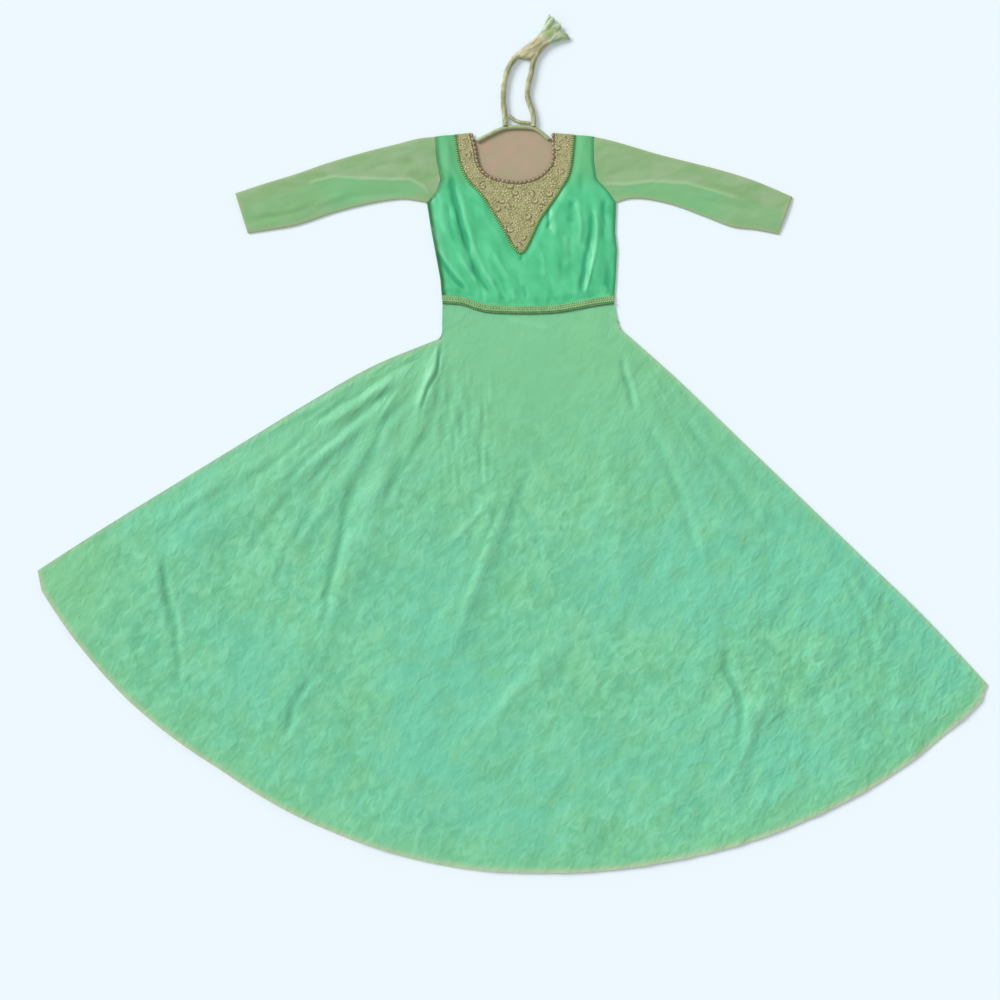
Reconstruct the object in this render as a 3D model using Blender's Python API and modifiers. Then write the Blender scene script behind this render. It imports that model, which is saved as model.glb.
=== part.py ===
"""Anarkali gown lying flat on a table, skirt spread, neck ties out past the neck.

Metres. +X is to the right as seen from above, +Y towards the neck, +Z up from the table.
The back lies on the table, the front lies on the back, and the trims lie on the front.
"""
import math
from collections import namedtuple

import bmesh
import bpy
from mathutils import Vector

# Walls and gaps
SATIN = 0.0014
NET = 0.0011
EMBROIDERY = 0.0013
SEAM_GAP = 0.0003
LAYER_GAP = 0.0004

# Heights of the layers above the table
BACK_TOP = SATIN
FRONT_BASE = BACK_TOP + LAYER_GAP
YOKE_BASE = FRONT_BASE + SATIN + LAYER_GAP

# How high the cloth of the front stands off the back, and how far from its seams it reaches that
SKIRT_LOFT = 0.0030
SKIRT_EDGE = 0.070
BODICE_LOFT = 0.0025
BODICE_EDGE = 0.020
# How far from the yoke and from the waist the bodice stays flat
YOKE_MARGIN = 0.022
WAIST_MARGIN = 0.034
# Folds fade in over this share of their length, starting a little before each end
FOLD_OVERRUN = 0.15
FOLD_FADE = 0.35

Point = namedtuple("Point", "x y")
Side = namedtuple("Side", "y left right")
Hem = namedtuple("Hem", "angle radius")
Fold = namedtuple("Fold", "start end bow width height")
Cuff = namedtuple("Cuff", "top bottom height bow")
Ring = namedtuple("Ring", "reach half_width height")

# The bodice's edges, armhole and then side seam, from the shoulder down
BODICE_SIDES = (
    Side(y=0.726, left=-0.163, right=0.155),
    Side(y=0.676, left=-0.159, right=0.155),
    Side(y=0.640, left=-0.151, right=0.161),
    Side(y=0.616, left=-0.160, right=0.184),
    Side(y=0.594, left=-0.179, right=0.199),
    Side(y=0.536, left=-0.170, right=0.197),
    Side(y=0.500, left=-0.163, right=0.201),
    Side(y=0.440, left=-0.152, right=0.198),
    Side(y=0.414, left=-0.150, right=0.196),
    Side(y=0.392, left=-0.148, right=0.195),
)

# The waist seam, from left to right
WAIST_SEAM = (
    Point(-0.148, 0.392), Point(-0.110, 0.389), Point(-0.080, 0.379), Point(-0.050, 0.373),
    Point(0.020, 0.371), Point(0.075, 0.373), Point(0.115, 0.379), Point(0.157, 0.387),
    Point(0.195, 0.392),
)

# The U of the neckline, from the left shoulder round to the right one
NECKLINE = (
    Point(-0.091, 0.733), Point(-0.083, 0.698), Point(-0.077, 0.669), Point(-0.059, 0.648),
    Point(-0.031, 0.638), Point(0.006, 0.634), Point(0.040, 0.642), Point(0.064, 0.661),
    Point(0.074, 0.682), Point(0.073, 0.733),
)

# The V of the yoke's outer edge, each point across the cloth from the one above
YOKE_EDGE = (
    Point(-0.124, 0.730), Point(-0.115, 0.678), Point(-0.098, 0.640), Point(-0.071, 0.610),
    Point(-0.036, 0.556), Point(0.008, 0.494), Point(0.046, 0.560), Point(0.086, 0.618),
    Point(0.107, 0.660), Point(0.115, 0.730),
)

# The upper edge of the back, which rises between the shoulders
BACK_NECK = (
    Point(-0.163, 0.726), Point(-0.091, 0.733), Point(-0.079, 0.719), Point(-0.055, 0.732),
    Point(-0.028, 0.744), Point(0.003, 0.747), Point(0.038, 0.743), Point(0.064, 0.723),
    Point(0.074, 0.733), Point(0.155, 0.728),
)
BACK_YOKE_ROW = 3

# The hem, as reaches from the middle of the waist; angles from straight down, + to the right
WAIST_MIDDLE = Point(0.023, 0.380)
HEM = (
    Hem(angle=-62.0, radius=1.110), Hem(angle=-60.0, radius=1.122), Hem(angle=-46.0, radius=1.117),
    Hem(angle=-34.0, radius=1.105), Hem(angle=-22.0, radius=1.113), Hem(angle=-8.0, radius=1.123),
    Hem(angle=2.0, radius=1.125), Hem(angle=14.0, radius=1.136), Hem(angle=26.0, radius=1.156),
    Hem(angle=38.0, radius=1.179), Hem(angle=46.0, radius=1.191), Hem(angle=49.2, radius=1.196),
    Hem(angle=50.8, radius=1.185),
)
SEAM_ANGLES = {"left": -9.6, "right": 18.3}
# How far down each seam its side panel begins, as a share of the seam
SEAM_STARTS = {"left": 0.050, "right": 0.026}

# The outer edges of the side panels, from the waist to the corner of the hem
LEFT_EDGE = (
    Point(-0.152, 0.323), Point(-0.288, 0.267), Point(-0.420, 0.192), Point(-0.553, 0.111),
    Point(-0.687, 0.029), Point(-0.822, -0.054), Point(-0.957, -0.141),
)
RIGHT_EDGE = (
    Point(0.203, 0.346), Point(0.319, 0.243), Point(0.442, 0.125), Point(0.567, 0.005),
    Point(0.692, -0.115), Point(0.817, -0.236), Point(0.941, -0.369),
)

# The largest folds of the skirt: + stands up, - sinks; bow is the middle's push to the left
SKIRT_FOLDS = (
    Fold(Point(-0.153, 0.330), Point(-0.195, 0.150), bow=0.008, width=0.016, height=0.0085),
    Fold(Point(-0.170, 0.200), Point(-0.300, -0.030), bow=0.010, width=0.022, height=0.0050),
    Fold(Point(-0.300, 0.160), Point(-0.800, -0.220), bow=0.020, width=0.030, height=0.0045),
    Fold(Point(-0.690, -0.080), Point(-0.668, -0.430), bow=0.012, width=0.024, height=0.0065),
    Fold(Point(-0.722, -0.080), Point(-0.705, -0.430), bow=0.012, width=0.022, height=-0.0040),
    Fold(Point(-0.330, -0.020), Point(-0.400, -0.330), bow=0.015, width=0.026, height=-0.0040),
    Fold(Point(-0.250, 0.020), Point(-0.520, -0.560), bow=0.020, width=0.034, height=0.0045),
    Fold(Point(-0.015, 0.060), Point(-0.150, -0.340), bow=-0.018, width=0.028, height=0.0060),
    Fold(Point(0.110, -0.250), Point(-0.140, -0.560), bow=0.012, width=0.028, height=0.0040),
    Fold(Point(0.180, 0.180), Point(0.210, -0.300), bow=-0.012, width=0.032, height=0.0045),
    Fold(Point(0.250, 0.250), Point(0.480, -0.180), bow=0.018, width=0.030, height=0.0050),
    Fold(Point(0.425, -0.230), Point(0.447, -0.510), bow=-0.010, width=0.024, height=0.0060),
    Fold(Point(0.520, -0.330), Point(0.380, -0.600), bow=0.015, width=0.026, height=0.0045),
    Fold(Point(0.560, -0.010), Point(0.810, -0.400), bow=0.015, width=0.034, height=0.0045),
)

# The gathers of the bodice, down to the waist
BODICE_FOLDS = (
    Fold(Point(-0.122, 0.628), Point(-0.092, 0.480), bow=0.006, width=0.011, height=0.0065),
    Fold(Point(-0.138, 0.600), Point(-0.118, 0.455), bow=0.008, width=0.012, height=0.0080),
    Fold(Point(-0.096, 0.570), Point(-0.030, 0.405), bow=0.010, width=0.011, height=0.0060),
    Fold(Point(-0.062, 0.520), Point(0.015, 0.400), bow=0.012, width=0.012, height=0.0050),
    Fold(Point(0.030, 0.470), Point(0.055, 0.395), bow=0.002, width=0.011, height=0.0045),
    Fold(Point(0.078, 0.560), Point(0.082, 0.420), bow=-0.004, width=0.013, height=0.0060),
    Fold(Point(0.156, 0.620), Point(0.140, 0.410), bow=-0.006, width=0.011, height=0.0090),
    Fold(Point(0.182, 0.570), Point(0.178, 0.420), bow=0.004, width=0.009, height=0.0040),
)

# The sleeves' cross-lines, from near the armhole to the cuff; bow is how much of the armhole's
# curve they keep
ARMHOLE_ROWS = 5
ARMHOLE_HEIGHT = 0.0042
# The power that rounds a sleeve's cross-section: lower is flatter on top
SLEEVE_ROUNDING = 0.4
SLEEVE_LEFT = (
    Cuff(Point(-0.197, 0.722), Point(-0.206, 0.599), height=0.0052, bow=0.55),
    Cuff(Point(-0.240, 0.711), Point(-0.234, 0.601), height=0.0058, bow=0.15),
    Cuff(Point(-0.300, 0.696), Point(-0.290, 0.593), height=0.0060, bow=0.0),
    Cuff(Point(-0.379, 0.673), Point(-0.362, 0.575), height=0.0058, bow=0.0),
    Cuff(Point(-0.439, 0.652), Point(-0.437, 0.550), height=0.0060, bow=0.0),
    Cuff(Point(-0.501, 0.633), Point(-0.491, 0.540), height=0.0056, bow=0.0),
    Cuff(Point(-0.562, 0.613), Point(-0.537, 0.533), height=0.0050, bow=0.0),
)
SLEEVE_RIGHT = (
    Cuff(Point(0.190, 0.718), Point(0.226, 0.602), height=0.0052, bow=0.55),
    Cuff(Point(0.232, 0.706), Point(0.262, 0.601), height=0.0058, bow=0.15),
    Cuff(Point(0.286, 0.690), Point(0.315, 0.589), height=0.0060, bow=0.0),
    Cuff(Point(0.350, 0.674), Point(0.377, 0.566), height=0.0058, bow=0.0),
    Cuff(Point(0.412, 0.658), Point(0.430, 0.546), height=0.0060, bow=0.0),
    Cuff(Point(0.478, 0.637), Point(0.478, 0.540), height=0.0056, bow=0.0),
    Cuff(Point(0.551, 0.606), Point(0.523, 0.531), height=0.0050, bow=0.0),
)

# Trims
TRIM_WIDTH = 0.0120
TRIM_WALL = 0.0012
PIPING_RADIUS = 0.0020
BINDING_RADIUS = 0.0016
BACK_BINDING_RADIUS = 0.0028
PIPING_POINT_EVERY = 0.012
BINDING_POINT_EVERY = 0.010

# Ties: each route starts at the back neck and runs up to the tassel
TIE_RADIUS = 0.0055
TIE_POINT_EVERY = 0.012
TIE_LEFT_ROUTE = (
    Point(-0.0225, 0.7470), Point(-0.0240, 0.7720), Point(-0.0265, 0.7960), Point(-0.0260, 0.8180),
    Point(-0.0225, 0.8420), Point(-0.0150, 0.8650), Point(-0.0010, 0.8840), Point(0.0170, 0.8985),
    Point(0.0330, 0.9080), Point(0.0475, 0.9200),
)
TIE_RIGHT_ROUTE = (
    Point(0.0340, 0.7460), Point(0.0330, 0.7690), Point(0.0265, 0.7900), Point(0.0215, 0.8090),
    Point(0.0240, 0.8320), Point(0.0290, 0.8520), Point(0.0320, 0.8700), Point(0.0385, 0.8870),
    Point(0.0470, 0.8985), Point(0.0560, 0.9090),
)
BAR_ROUTE = (Point(-0.0138, 0.7676), Point(-0.0040, 0.7590), Point(0.0100, 0.7545), Point(0.0268, 0.7540))
BAR_RADIUS = 0.0037
BAR_POINT_EVERY = 0.008

# Tassel: a flattened cloth bell, from its neck on the ties to its open end
TASSEL_NECK = Point(0.0525, 0.9170)
TASSEL_TURN = math.radians(-50.0)
TASSEL_RINGS = (
    Ring(reach=0.0000, half_width=0.0135, height=0.0110),
    Ring(reach=0.0090, half_width=0.0160, height=0.0125),
    Ring(reach=0.0240, half_width=0.0215, height=0.0125),
    Ring(reach=0.0370, half_width=0.0280, height=0.0110),
    Ring(reach=0.0440, half_width=0.0310, height=0.0085),
)
TASSEL_SIDES = 12


def clear_scene():
    for old in list(bpy.data.objects):
        bpy.data.objects.remove(old, do_unlink=True)


def cloth_material(name, color, roughness):
    material = bpy.data.materials.new(name)
    material.use_nodes = True
    shader = material.node_tree.nodes["Principled BSDF"]
    shader.inputs["Base Color"].default_value = (*color, 1.0)
    shader.inputs["Roughness"].default_value = roughness
    shader.inputs["Metallic"].default_value = 0.0
    return material


# Curves through points

def smooth_point(points, t):
    """A point at t from 0 to 1 along a smooth curve through the points."""
    count = len(points) - 1
    place = min(max(t, 0.0), 1.0) * count
    step = min(int(place), count - 1)
    f = place - step
    before, a, b, after = (Vector(points[min(max(step + k, 0), count)]) for k in (-1, 0, 1, 2))
    bend = (2 * before - 5 * a + 4 * b - after) * f ** 2 + (3 * (a - b) + after - before) * f ** 3
    return (2 * a + (b - before) * f + bend) / 2


def column_at(rows, key, value, wanted):
    """The wanted column where the key column has this value, along straight stretches."""
    rows = sorted(rows, key=lambda row: getattr(row, key))
    value = min(max(value, getattr(rows[0], key)), getattr(rows[-1], key))
    for low, high in zip(rows, rows[1:]):
        a, b = getattr(low, key), getattr(high, key)
        if value <= b:
            f = (value - a) / (b - a)
            return getattr(low, wanted) * (1 - f) + getattr(high, wanted) * f


def hem_point(angle):
    radius = column_at(HEM, "angle", angle, "radius")
    turn = math.radians(angle)
    return Vector((WAIST_MIDDLE.x + radius * math.sin(turn), WAIST_MIDDLE.y - radius * math.cos(turn)))


def hem_between(first, last):
    return lambda u: hem_point(first + (last - first) * u)


def line_between(start, end):
    a, b = Vector(start), Vector(end)
    return lambda t: a.lerp(b, t)


def curve_through(points):
    return lambda t: smooth_point(points, t)


def inset(curve, shift):
    """The same curve moved sideways in X, for the gap at a seam."""
    return lambda t: curve(t) + Vector((shift, 0.0))


def bodice_side(side, first, last):
    """The bodice's edge between two rows of its table, straight from row to row."""
    rows = [Vector((getattr(row, side), row.y)) for row in BODICE_SIDES[first:last + 1]]

    def place(t):
        step = min(int(t * (len(rows) - 1) + 1e-9), len(rows) - 2)
        return rows[step].lerp(rows[step + 1], t * (len(rows) - 1) - step)
    return place


# Heights

def smooth_step(value):
    value = min(max(value, 0.0), 1.0)
    return value * value * (3 - 2 * value)


def fold_height(fold, x, y):
    """A soft ridge or trough along a bowed line, which fades out at both ends."""
    start, end = Vector(fold.start), Vector(fold.end)
    along = end - start
    across = Vector((-along.y, along.x)).normalized()
    offset = Vector((x, y)) - start
    t = offset.dot(along) / along.length_squared
    if not -FOLD_OVERRUN < t < 1 + FOLD_OVERRUN:
        return 0.0
    distance = offset.dot(across) - 4 * fold.bow * t * (1 - t)
    taper = smooth_step((t + FOLD_OVERRUN) / FOLD_FADE) * smooth_step((1 + FOLD_OVERRUN - t) / FOLD_FADE)
    return fold.height * taper * math.exp(-((distance / fold.width) ** 2))


def loft(x, y, folds, full, edge_distance, edge):
    """Height above the layer's base: nothing at the seams, full in the middle, with the folds."""
    mask = smooth_step(edge_distance / edge)
    height = full + sum(fold_height(fold, x, y) for fold in folds)
    return max(height * mask, 0.0)


def distance_to(points, x, y):
    """Distance from a place to a chain of straight stretches."""
    place = Vector((x, y))
    nearest = 10.0
    for a, b in zip(points, points[1:]):
        start, along = Vector(a), Vector(b) - Vector(a)
        t = min(max((place - start).dot(along) / along.length_squared, 0.0), 1.0)
        nearest = min(nearest, (place - start - along * t).length)
    return nearest


def skirt_height(x, y):
    borders = (LEFT_EDGE, RIGHT_EDGE, WAIST_SEAM)
    edge_distance = min(distance_to(border, x, y) for border in borders)
    return FRONT_BASE + loft(x, y, SKIRT_FOLDS, SKIRT_LOFT, edge_distance, SKIRT_EDGE)


def bodice_height(x, y):
    left = x - column_at(BODICE_SIDES, "y", y, "left")
    right = column_at(BODICE_SIDES, "y", y, "right") - x
    waist = y - column_at(WAIST_SEAM, "x", x, "y") - WAIST_MARGIN
    edge_distance = max(min(left, right, waist, outside_yoke(x, y)), 0.0)
    return FRONT_BASE + loft(x, y, BODICE_FOLDS, BODICE_LOFT, edge_distance, BODICE_EDGE)


def outside_yoke(x, y):
    """How far a place lies outside the yoke's V and its margin; nothing inside them."""
    half = len(YOKE_EDGE) // 2
    if y >= YOKE_EDGE[half].y:
        left = column_at(YOKE_EDGE[:half + 1], "y", y, "x")
        right = column_at(YOKE_EDGE[half:], "y", y, "x")
        if left < x < right:
            return 0.0
    return max(distance_to(YOKE_EDGE, x, y) - YOKE_MARGIN, 0.0)


def flat(height):
    return lambda x, y: height


# Pieces

def add_object(name, mesh, material, collection):
    piece = bpy.data.objects.new(name, mesh)
    piece.data.materials.append(material)
    collection.objects.link(piece)
    return piece


def patch_place(top, bottom, left, right, u, v):
    """The blend of four edge curves, at u across and v down."""
    ruled = top(u) * (1 - v) + bottom(u) * v + left(v) * (1 - u) + right(v) * u
    corners = (top(0) * (1 - u) + top(1) * u) * (1 - v) + (bottom(0) * (1 - u) + bottom(1) * u) * v
    return ruled - corners


def cloth_panel(name, edges, counts, height, wall, material, collection, drop=0.0):
    """A panel inside four edge curves: a grid at its height, then extruded up by its wall.
    Its top row is let down by the drop, to stand clear of the seam above."""
    top, bottom, left, right = edges
    bm = bmesh.new()
    bmesh.ops.create_grid(bm, x_segments=counts[0], y_segments=counts[1], size=0.5)
    for vert in bm.verts:
        u, v = vert.co.x + 0.5, 0.5 - vert.co.y
        place = patch_place(top, bottom, left, right, u, v)
        if v < 1e-6:
            place.y -= drop
        vert.co = (place.x, place.y, height(place.x, place.y))
    bmesh.ops.triangulate(bm, faces=bm.faces)
    bmesh.ops.reverse_faces(bm, faces=bm.faces)
    raised = bmesh.ops.extrude_face_region(bm, geom=bm.faces, use_keep_orig=True)["geom"]
    raised_verts = [item for item in raised if isinstance(item, bmesh.types.BMVert)]
    bmesh.ops.translate(bm, verts=raised_verts, vec=(0.0, 0.0, wall))
    bmesh.ops.recalc_face_normals(bm, faces=bm.faces)
    mesh = bpy.data.meshes.new(name)
    bm.to_mesh(mesh)
    bm.free()
    return add_object(name, mesh, material, collection)


def skirt_edges(panel):
    half_gap = SEAM_GAP / 2
    waist = curve_through(WAIST_SEAM)
    seam_left = line_between(WAIST_SEAM[0], hem_point(SEAM_ANGLES["left"]))
    seam_right = line_between(WAIST_SEAM[-1], hem_point(SEAM_ANGLES["right"]))
    if panel == "center":
        hem = hem_between(SEAM_ANGLES["left"], SEAM_ANGLES["right"])
        return (waist, hem, inset(seam_left, half_gap), inset(seam_right, -half_gap))
    if panel == "left":
        hem = hem_between(HEM[0].angle, SEAM_ANGLES["left"])
        seam = line_between(seam_left(SEAM_STARTS["left"]), seam_left(1))
        top = line_between(LEFT_EDGE[0], seam(0))
        return (inset(top, -half_gap), hem, curve_through(LEFT_EDGE), inset(seam, -half_gap))
    hem = hem_between(SEAM_ANGLES["right"], HEM[-1].angle)
    seam = line_between(seam_right(SEAM_STARTS["right"]), seam_right(1))
    top = line_between(seam(0), RIGHT_EDGE[0])
    return (inset(top, half_gap), hem, inset(seam, half_gap), curve_through(RIGHT_EDGE))


def make_skirt(front_material, back_material, collection):
    front_counts = {"left": (24, 20), "center": (20, 22), "right": (18, 20)}
    back_counts = {"left": (12, 6), "center": (8, 8), "right": (8, 6)}
    for panel in ("center", "left", "right"):
        edges = skirt_edges(panel)
        cloth_panel(f"skirt_back_{panel}", edges, back_counts[panel], flat(0.0), SATIN,
                    back_material, collection, drop=SEAM_GAP)
        cloth_panel(f"skirt_front_{panel}", edges, front_counts[panel], skirt_height, SATIN,
                    front_material, collection, drop=SEAM_GAP)


def make_bodice(satin, net, collection):
    waist = curve_through(WAIST_SEAM)
    last_row = len(BODICE_SIDES) - 1
    shoulder_left, shoulder_right = bodice_side("left", 0, 1)(0), bodice_side("right", 0, 1)(0)
    shoulders = (shoulder_left, *NECKLINE, shoulder_right)
    front = (straight_and_curved(shoulders), waist,
             bodice_side("left", 0, last_row), bodice_side("right", 0, last_row))
    cloth_panel("bodice_front", front, (20, 2 * last_row), bodice_height, SATIN, satin, collection)

    back_left = bodice_side("left", BACK_YOKE_ROW, last_row)
    back_right = bodice_side("right", BACK_YOKE_ROW, last_row)
    seam = line_between(back_left(0), back_right(0))
    cloth_panel("bodice_back", (seam, waist, back_left, back_right), (8, last_row - BACK_YOKE_ROW),
                flat(0.0), SATIN, satin, collection, drop=SEAM_GAP)

    yoke = (straight_and_curved(BACK_NECK), seam,
            bodice_side("left", 0, BACK_YOKE_ROW), bodice_side("right", 0, BACK_YOKE_ROW))
    cloth_panel("back_yoke", yoke, (18, BACK_YOKE_ROW), flat(0.0), NET, net, collection)


def straight_and_curved(points):
    """Straight first and last stretches, as at the shoulders, and a smooth curve between."""
    inner = points[1:-1]
    count = len(points) - 1

    def place(t):
        step = t * count
        if step <= 1:
            return Vector(points[0]).lerp(Vector(points[1]), step)
        if step >= count - 1:
            return Vector(points[-2]).lerp(Vector(points[-1]), step - (count - 1))
        return smooth_point(inner, (step - 1) / (count - 2))
    return place


def make_neck_yoke(material, collection):
    edges = (curve_through(NECKLINE), curve_through(YOKE_EDGE),
             line_between(NECKLINE[0], YOKE_EDGE[0]), line_between(NECKLINE[-1], YOKE_EDGE[-1]))
    cloth_panel("neck_yoke", edges, (27, 3), flat(YOKE_BASE), EMBROIDERY, material, collection)


def cord(name, points, radius, height, point_every, material, collection):
    """A round cord along a smooth curve through its route's points, lying at one height."""
    length = sum((Vector(b) - Vector(a)).length for a, b in zip(points, points[1:]))
    count = max(round(length / point_every), 4)
    curve = bpy.data.curves.new(name, "CURVE")
    curve.dimensions = "3D"
    curve.bevel_depth = radius
    curve.bevel_resolution = 2
    curve.use_fill_caps = True
    spline = curve.splines.new("POLY")
    spline.points.add(count)
    for index, point in enumerate(spline.points):
        place = smooth_point(points, index / count)
        point.co = (place.x, place.y, height, 1.0)
    return add_object(name, curve, material, collection)


def make_trims(gold, dark, olive, collection):
    piping_route = [Point(p.x, p.y + PIPING_RADIUS) for p in WAIST_SEAM]
    cord("waist_piping", piping_route, PIPING_RADIUS, YOKE_BASE + PIPING_RADIUS, PIPING_POINT_EVERY,
         dark, collection)

    waist = curve_through(WAIST_SEAM)
    low = Vector((0.0, 2 * PIPING_RADIUS + 2 * SEAM_GAP))
    high = low + Vector((0.0, TRIM_WIDTH))
    edges = (lambda u: waist(u) + high, lambda u: waist(u) + low,
             line_between(waist(0) + high, waist(0) + low), line_between(waist(1) + high, waist(1) + low))
    cloth_panel("waist_trim", edges, (32, 1), flat(YOKE_BASE), TRIM_WALL, gold, collection)

    binding_height = YOKE_BASE + EMBROIDERY + SEAM_GAP + BINDING_RADIUS
    binding_route = [Point(p.x, p.y - BINDING_RADIUS) for p in NECKLINE]
    cord("neckline_binding", binding_route, BINDING_RADIUS, binding_height, BINDING_POINT_EVERY,
         dark, collection)

    back_height = NET + SEAM_GAP + BACK_BINDING_RADIUS
    back_route = [Point(p.x, p.y - BACK_BINDING_RADIUS) for p in BACK_NECK[2:-2]]
    cord("back_neck_binding", back_route, BACK_BINDING_RADIUS, back_height, BINDING_POINT_EVERY,
         olive, collection)


def make_sleeve(name, rows, side, material, collection):
    """A flattened tube from the armhole: a ring at each cross-line, bridged, with a wall inside."""
    armhole = bodice_side(side, 0, ARMHOLE_ROWS - 1)
    gap = Vector((-SEAM_GAP if side == "left" else SEAM_GAP, 0.0))
    shares = [index / (2 * (ARMHOLE_ROWS - 1)) for index in range(2 * ARMHOLE_ROWS - 1)]
    top, bottom = armhole(0), armhole(1)
    reaches = [(top.y - armhole(share).y) / (top.y - bottom.y) for share in shares]
    bows = [armhole(share).x - top.lerp(bottom, reach).x for share, reach in zip(shares, reaches)]
    lines = [Cuff(top + gap, bottom + gap, ARMHOLE_HEIGHT, 1.0), *rows]

    bm = bmesh.new()
    rings = []
    for line in lines:
        front, back = [], []
        for reach, bow in zip(reaches, bows):
            place = Vector(line.top).lerp(Vector(line.bottom), reach)
            place.x += bow * line.bow
            dome = (4 * reach * (1 - reach)) ** SLEEVE_ROUNDING if 0 < reach < 1 else 0.0
            front.append(bm.verts.new((place.x, place.y, line.height * (1 + dome) / 2)))
            if 0 < reach < 1:
                back.append(bm.verts.new((place.x, place.y, 0.0)))
        ring = front + back[::-1]
        rings.append([bm.edges.new((a, b)) for a, b in zip(ring, ring[1:] + ring[:1])])
    for near, far in zip(rings, rings[1:]):
        bmesh.ops.bridge_loops(bm, edges=near + far)
    bmesh.ops.recalc_face_normals(bm, faces=bm.faces)
    mesh = bpy.data.meshes.new(name)
    bm.to_mesh(mesh)
    bm.free()
    sleeve = add_object(name, mesh, material, collection)
    wall = sleeve.modifiers.new("Wall", "SOLIDIFY")
    wall.thickness = NET
    wall.offset = -1.0
    return sleeve


def make_ties(fabric, tassel_cloth, collection):
    cord("tie_left", TIE_LEFT_ROUTE, TIE_RADIUS, TIE_RADIUS, TIE_POINT_EVERY, fabric, collection)
    cord("tie_right", TIE_RIGHT_ROUTE, TIE_RADIUS, TIE_RADIUS, TIE_POINT_EVERY, fabric, collection)
    cord("tie_bar", BAR_ROUTE, BAR_RADIUS, BAR_RADIUS, BAR_POINT_EVERY, fabric, collection)
    make_tassel(tassel_cloth, collection)


def make_tassel(material, collection):
    """A flattened bell: rings across its reach, bridged and capped."""
    bm = bmesh.new()
    rings = []
    for row in TASSEL_RINGS:
        ring = []
        for index in range(TASSEL_SIDES):
            turn = 2 * math.pi * index / TASSEL_SIDES
            across = row.half_width * math.cos(turn)
            up = row.height * (0.5 + 0.5 * math.sin(turn))
            x = TASSEL_NECK.x - row.reach * math.sin(TASSEL_TURN) + across * math.cos(TASSEL_TURN)
            y = TASSEL_NECK.y + row.reach * math.cos(TASSEL_TURN) + across * math.sin(TASSEL_TURN)
            ring.append(bm.verts.new((x, y, up)))
        rings.append([bm.edges.new((a, b)) for a, b in zip(ring, ring[1:] + ring[:1])])
    for near, far in zip(rings, rings[1:]):
        bmesh.ops.bridge_loops(bm, edges=near + far)
    bmesh.ops.holes_fill(bm, edges=bm.edges, sides=TASSEL_SIDES)
    bmesh.ops.recalc_face_normals(bm, faces=bm.faces)
    mesh = bpy.data.meshes.new("tassel")
    bm.to_mesh(mesh)
    bm.free()
    return add_object("tassel", mesh, material, collection)


def main():
    clear_scene()
    gown = bpy.data.collections.new("anarkali_gown")
    bpy.context.scene.collection.children.link(gown)

    satin = cloth_material("satin_green", (0.110, 0.610, 0.310), 0.40)
    skirt_satin = cloth_material("skirt_satin", (0.190, 0.640, 0.360), 0.42)
    back_satin = cloth_material("back_satin", (0.160, 0.580, 0.330), 0.45)
    sleeve_net = cloth_material("sleeve_net", (0.270, 0.480, 0.240), 0.70)
    nude_net = cloth_material("nude_net", (0.440, 0.350, 0.240), 0.75)
    embroidery = cloth_material("gold_embroidery", (0.480, 0.420, 0.180), 0.45)
    gold = cloth_material("gold_trim", (0.350, 0.420, 0.150), 0.50)
    dark = cloth_material("dark_piping", (0.110, 0.160, 0.060), 0.55)
    olive = cloth_material("olive_binding", (0.330, 0.380, 0.180), 0.60)
    tie = cloth_material("tie_fabric", (0.400, 0.390, 0.190), 0.65)
    tassel = cloth_material("tassel_cloth", (0.420, 0.540, 0.360), 0.65)

    make_skirt(skirt_satin, back_satin, gown)
    make_bodice(satin, nude_net, gown)
    make_neck_yoke(embroidery, gown)
    make_trims(gold, dark, olive, gown)
    make_sleeve("sleeve_left", SLEEVE_LEFT, "left", sleeve_net, gown)
    make_sleeve("sleeve_right", SLEEVE_RIGHT, "right", sleeve_net, gown)
    make_ties(tie, tassel, gown)


main()
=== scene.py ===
import math
import random

import bmesh
import bpy
import numpy as np
from mathutils import Matrix, Vector


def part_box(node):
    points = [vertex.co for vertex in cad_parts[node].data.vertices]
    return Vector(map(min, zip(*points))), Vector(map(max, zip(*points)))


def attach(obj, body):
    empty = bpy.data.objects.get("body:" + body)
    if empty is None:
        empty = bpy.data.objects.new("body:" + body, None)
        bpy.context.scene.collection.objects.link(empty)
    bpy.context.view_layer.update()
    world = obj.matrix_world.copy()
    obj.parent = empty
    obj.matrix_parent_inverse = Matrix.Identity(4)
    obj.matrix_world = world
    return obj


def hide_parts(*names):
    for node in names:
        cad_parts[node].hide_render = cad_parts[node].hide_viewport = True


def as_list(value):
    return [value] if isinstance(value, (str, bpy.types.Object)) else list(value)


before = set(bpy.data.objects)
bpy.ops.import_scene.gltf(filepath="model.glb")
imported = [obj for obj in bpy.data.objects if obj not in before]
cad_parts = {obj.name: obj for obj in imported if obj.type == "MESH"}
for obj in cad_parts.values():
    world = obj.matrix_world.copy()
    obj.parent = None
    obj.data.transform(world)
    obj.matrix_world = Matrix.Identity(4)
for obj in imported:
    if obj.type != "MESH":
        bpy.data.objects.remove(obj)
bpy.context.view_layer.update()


def nodeTop(name):
    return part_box(name)[1][2]


# Shader helpers

class Wire:
    # a socket that sums like a number; each operator adds one Math node
    def __init__(self, tree, socket):
        self.tree = tree
        self.socket = socket

    def math(self, operation, *others, swapped=False):
        node = self.tree.nodes.new("ShaderNodeMath")
        node.operation = operation
        values = [self, *others]
        if swapped:
            values.reverse()
        for slot, value in zip(node.inputs, values):
            plug(self.tree, value, slot)
        return Wire(self.tree, node.outputs[0])

    def __add__(self, other):
        return self.math("ADD", other)

    def __radd__(self, other):
        return self.math("ADD", other)

    def __sub__(self, other):
        return self.math("SUBTRACT", other)

    def __rsub__(self, other):
        return self.math("SUBTRACT", other, swapped=True)

    def __mul__(self, other):
        return self.math("MULTIPLY", other)

    def __rmul__(self, other):
        return self.math("MULTIPLY", other)


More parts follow.
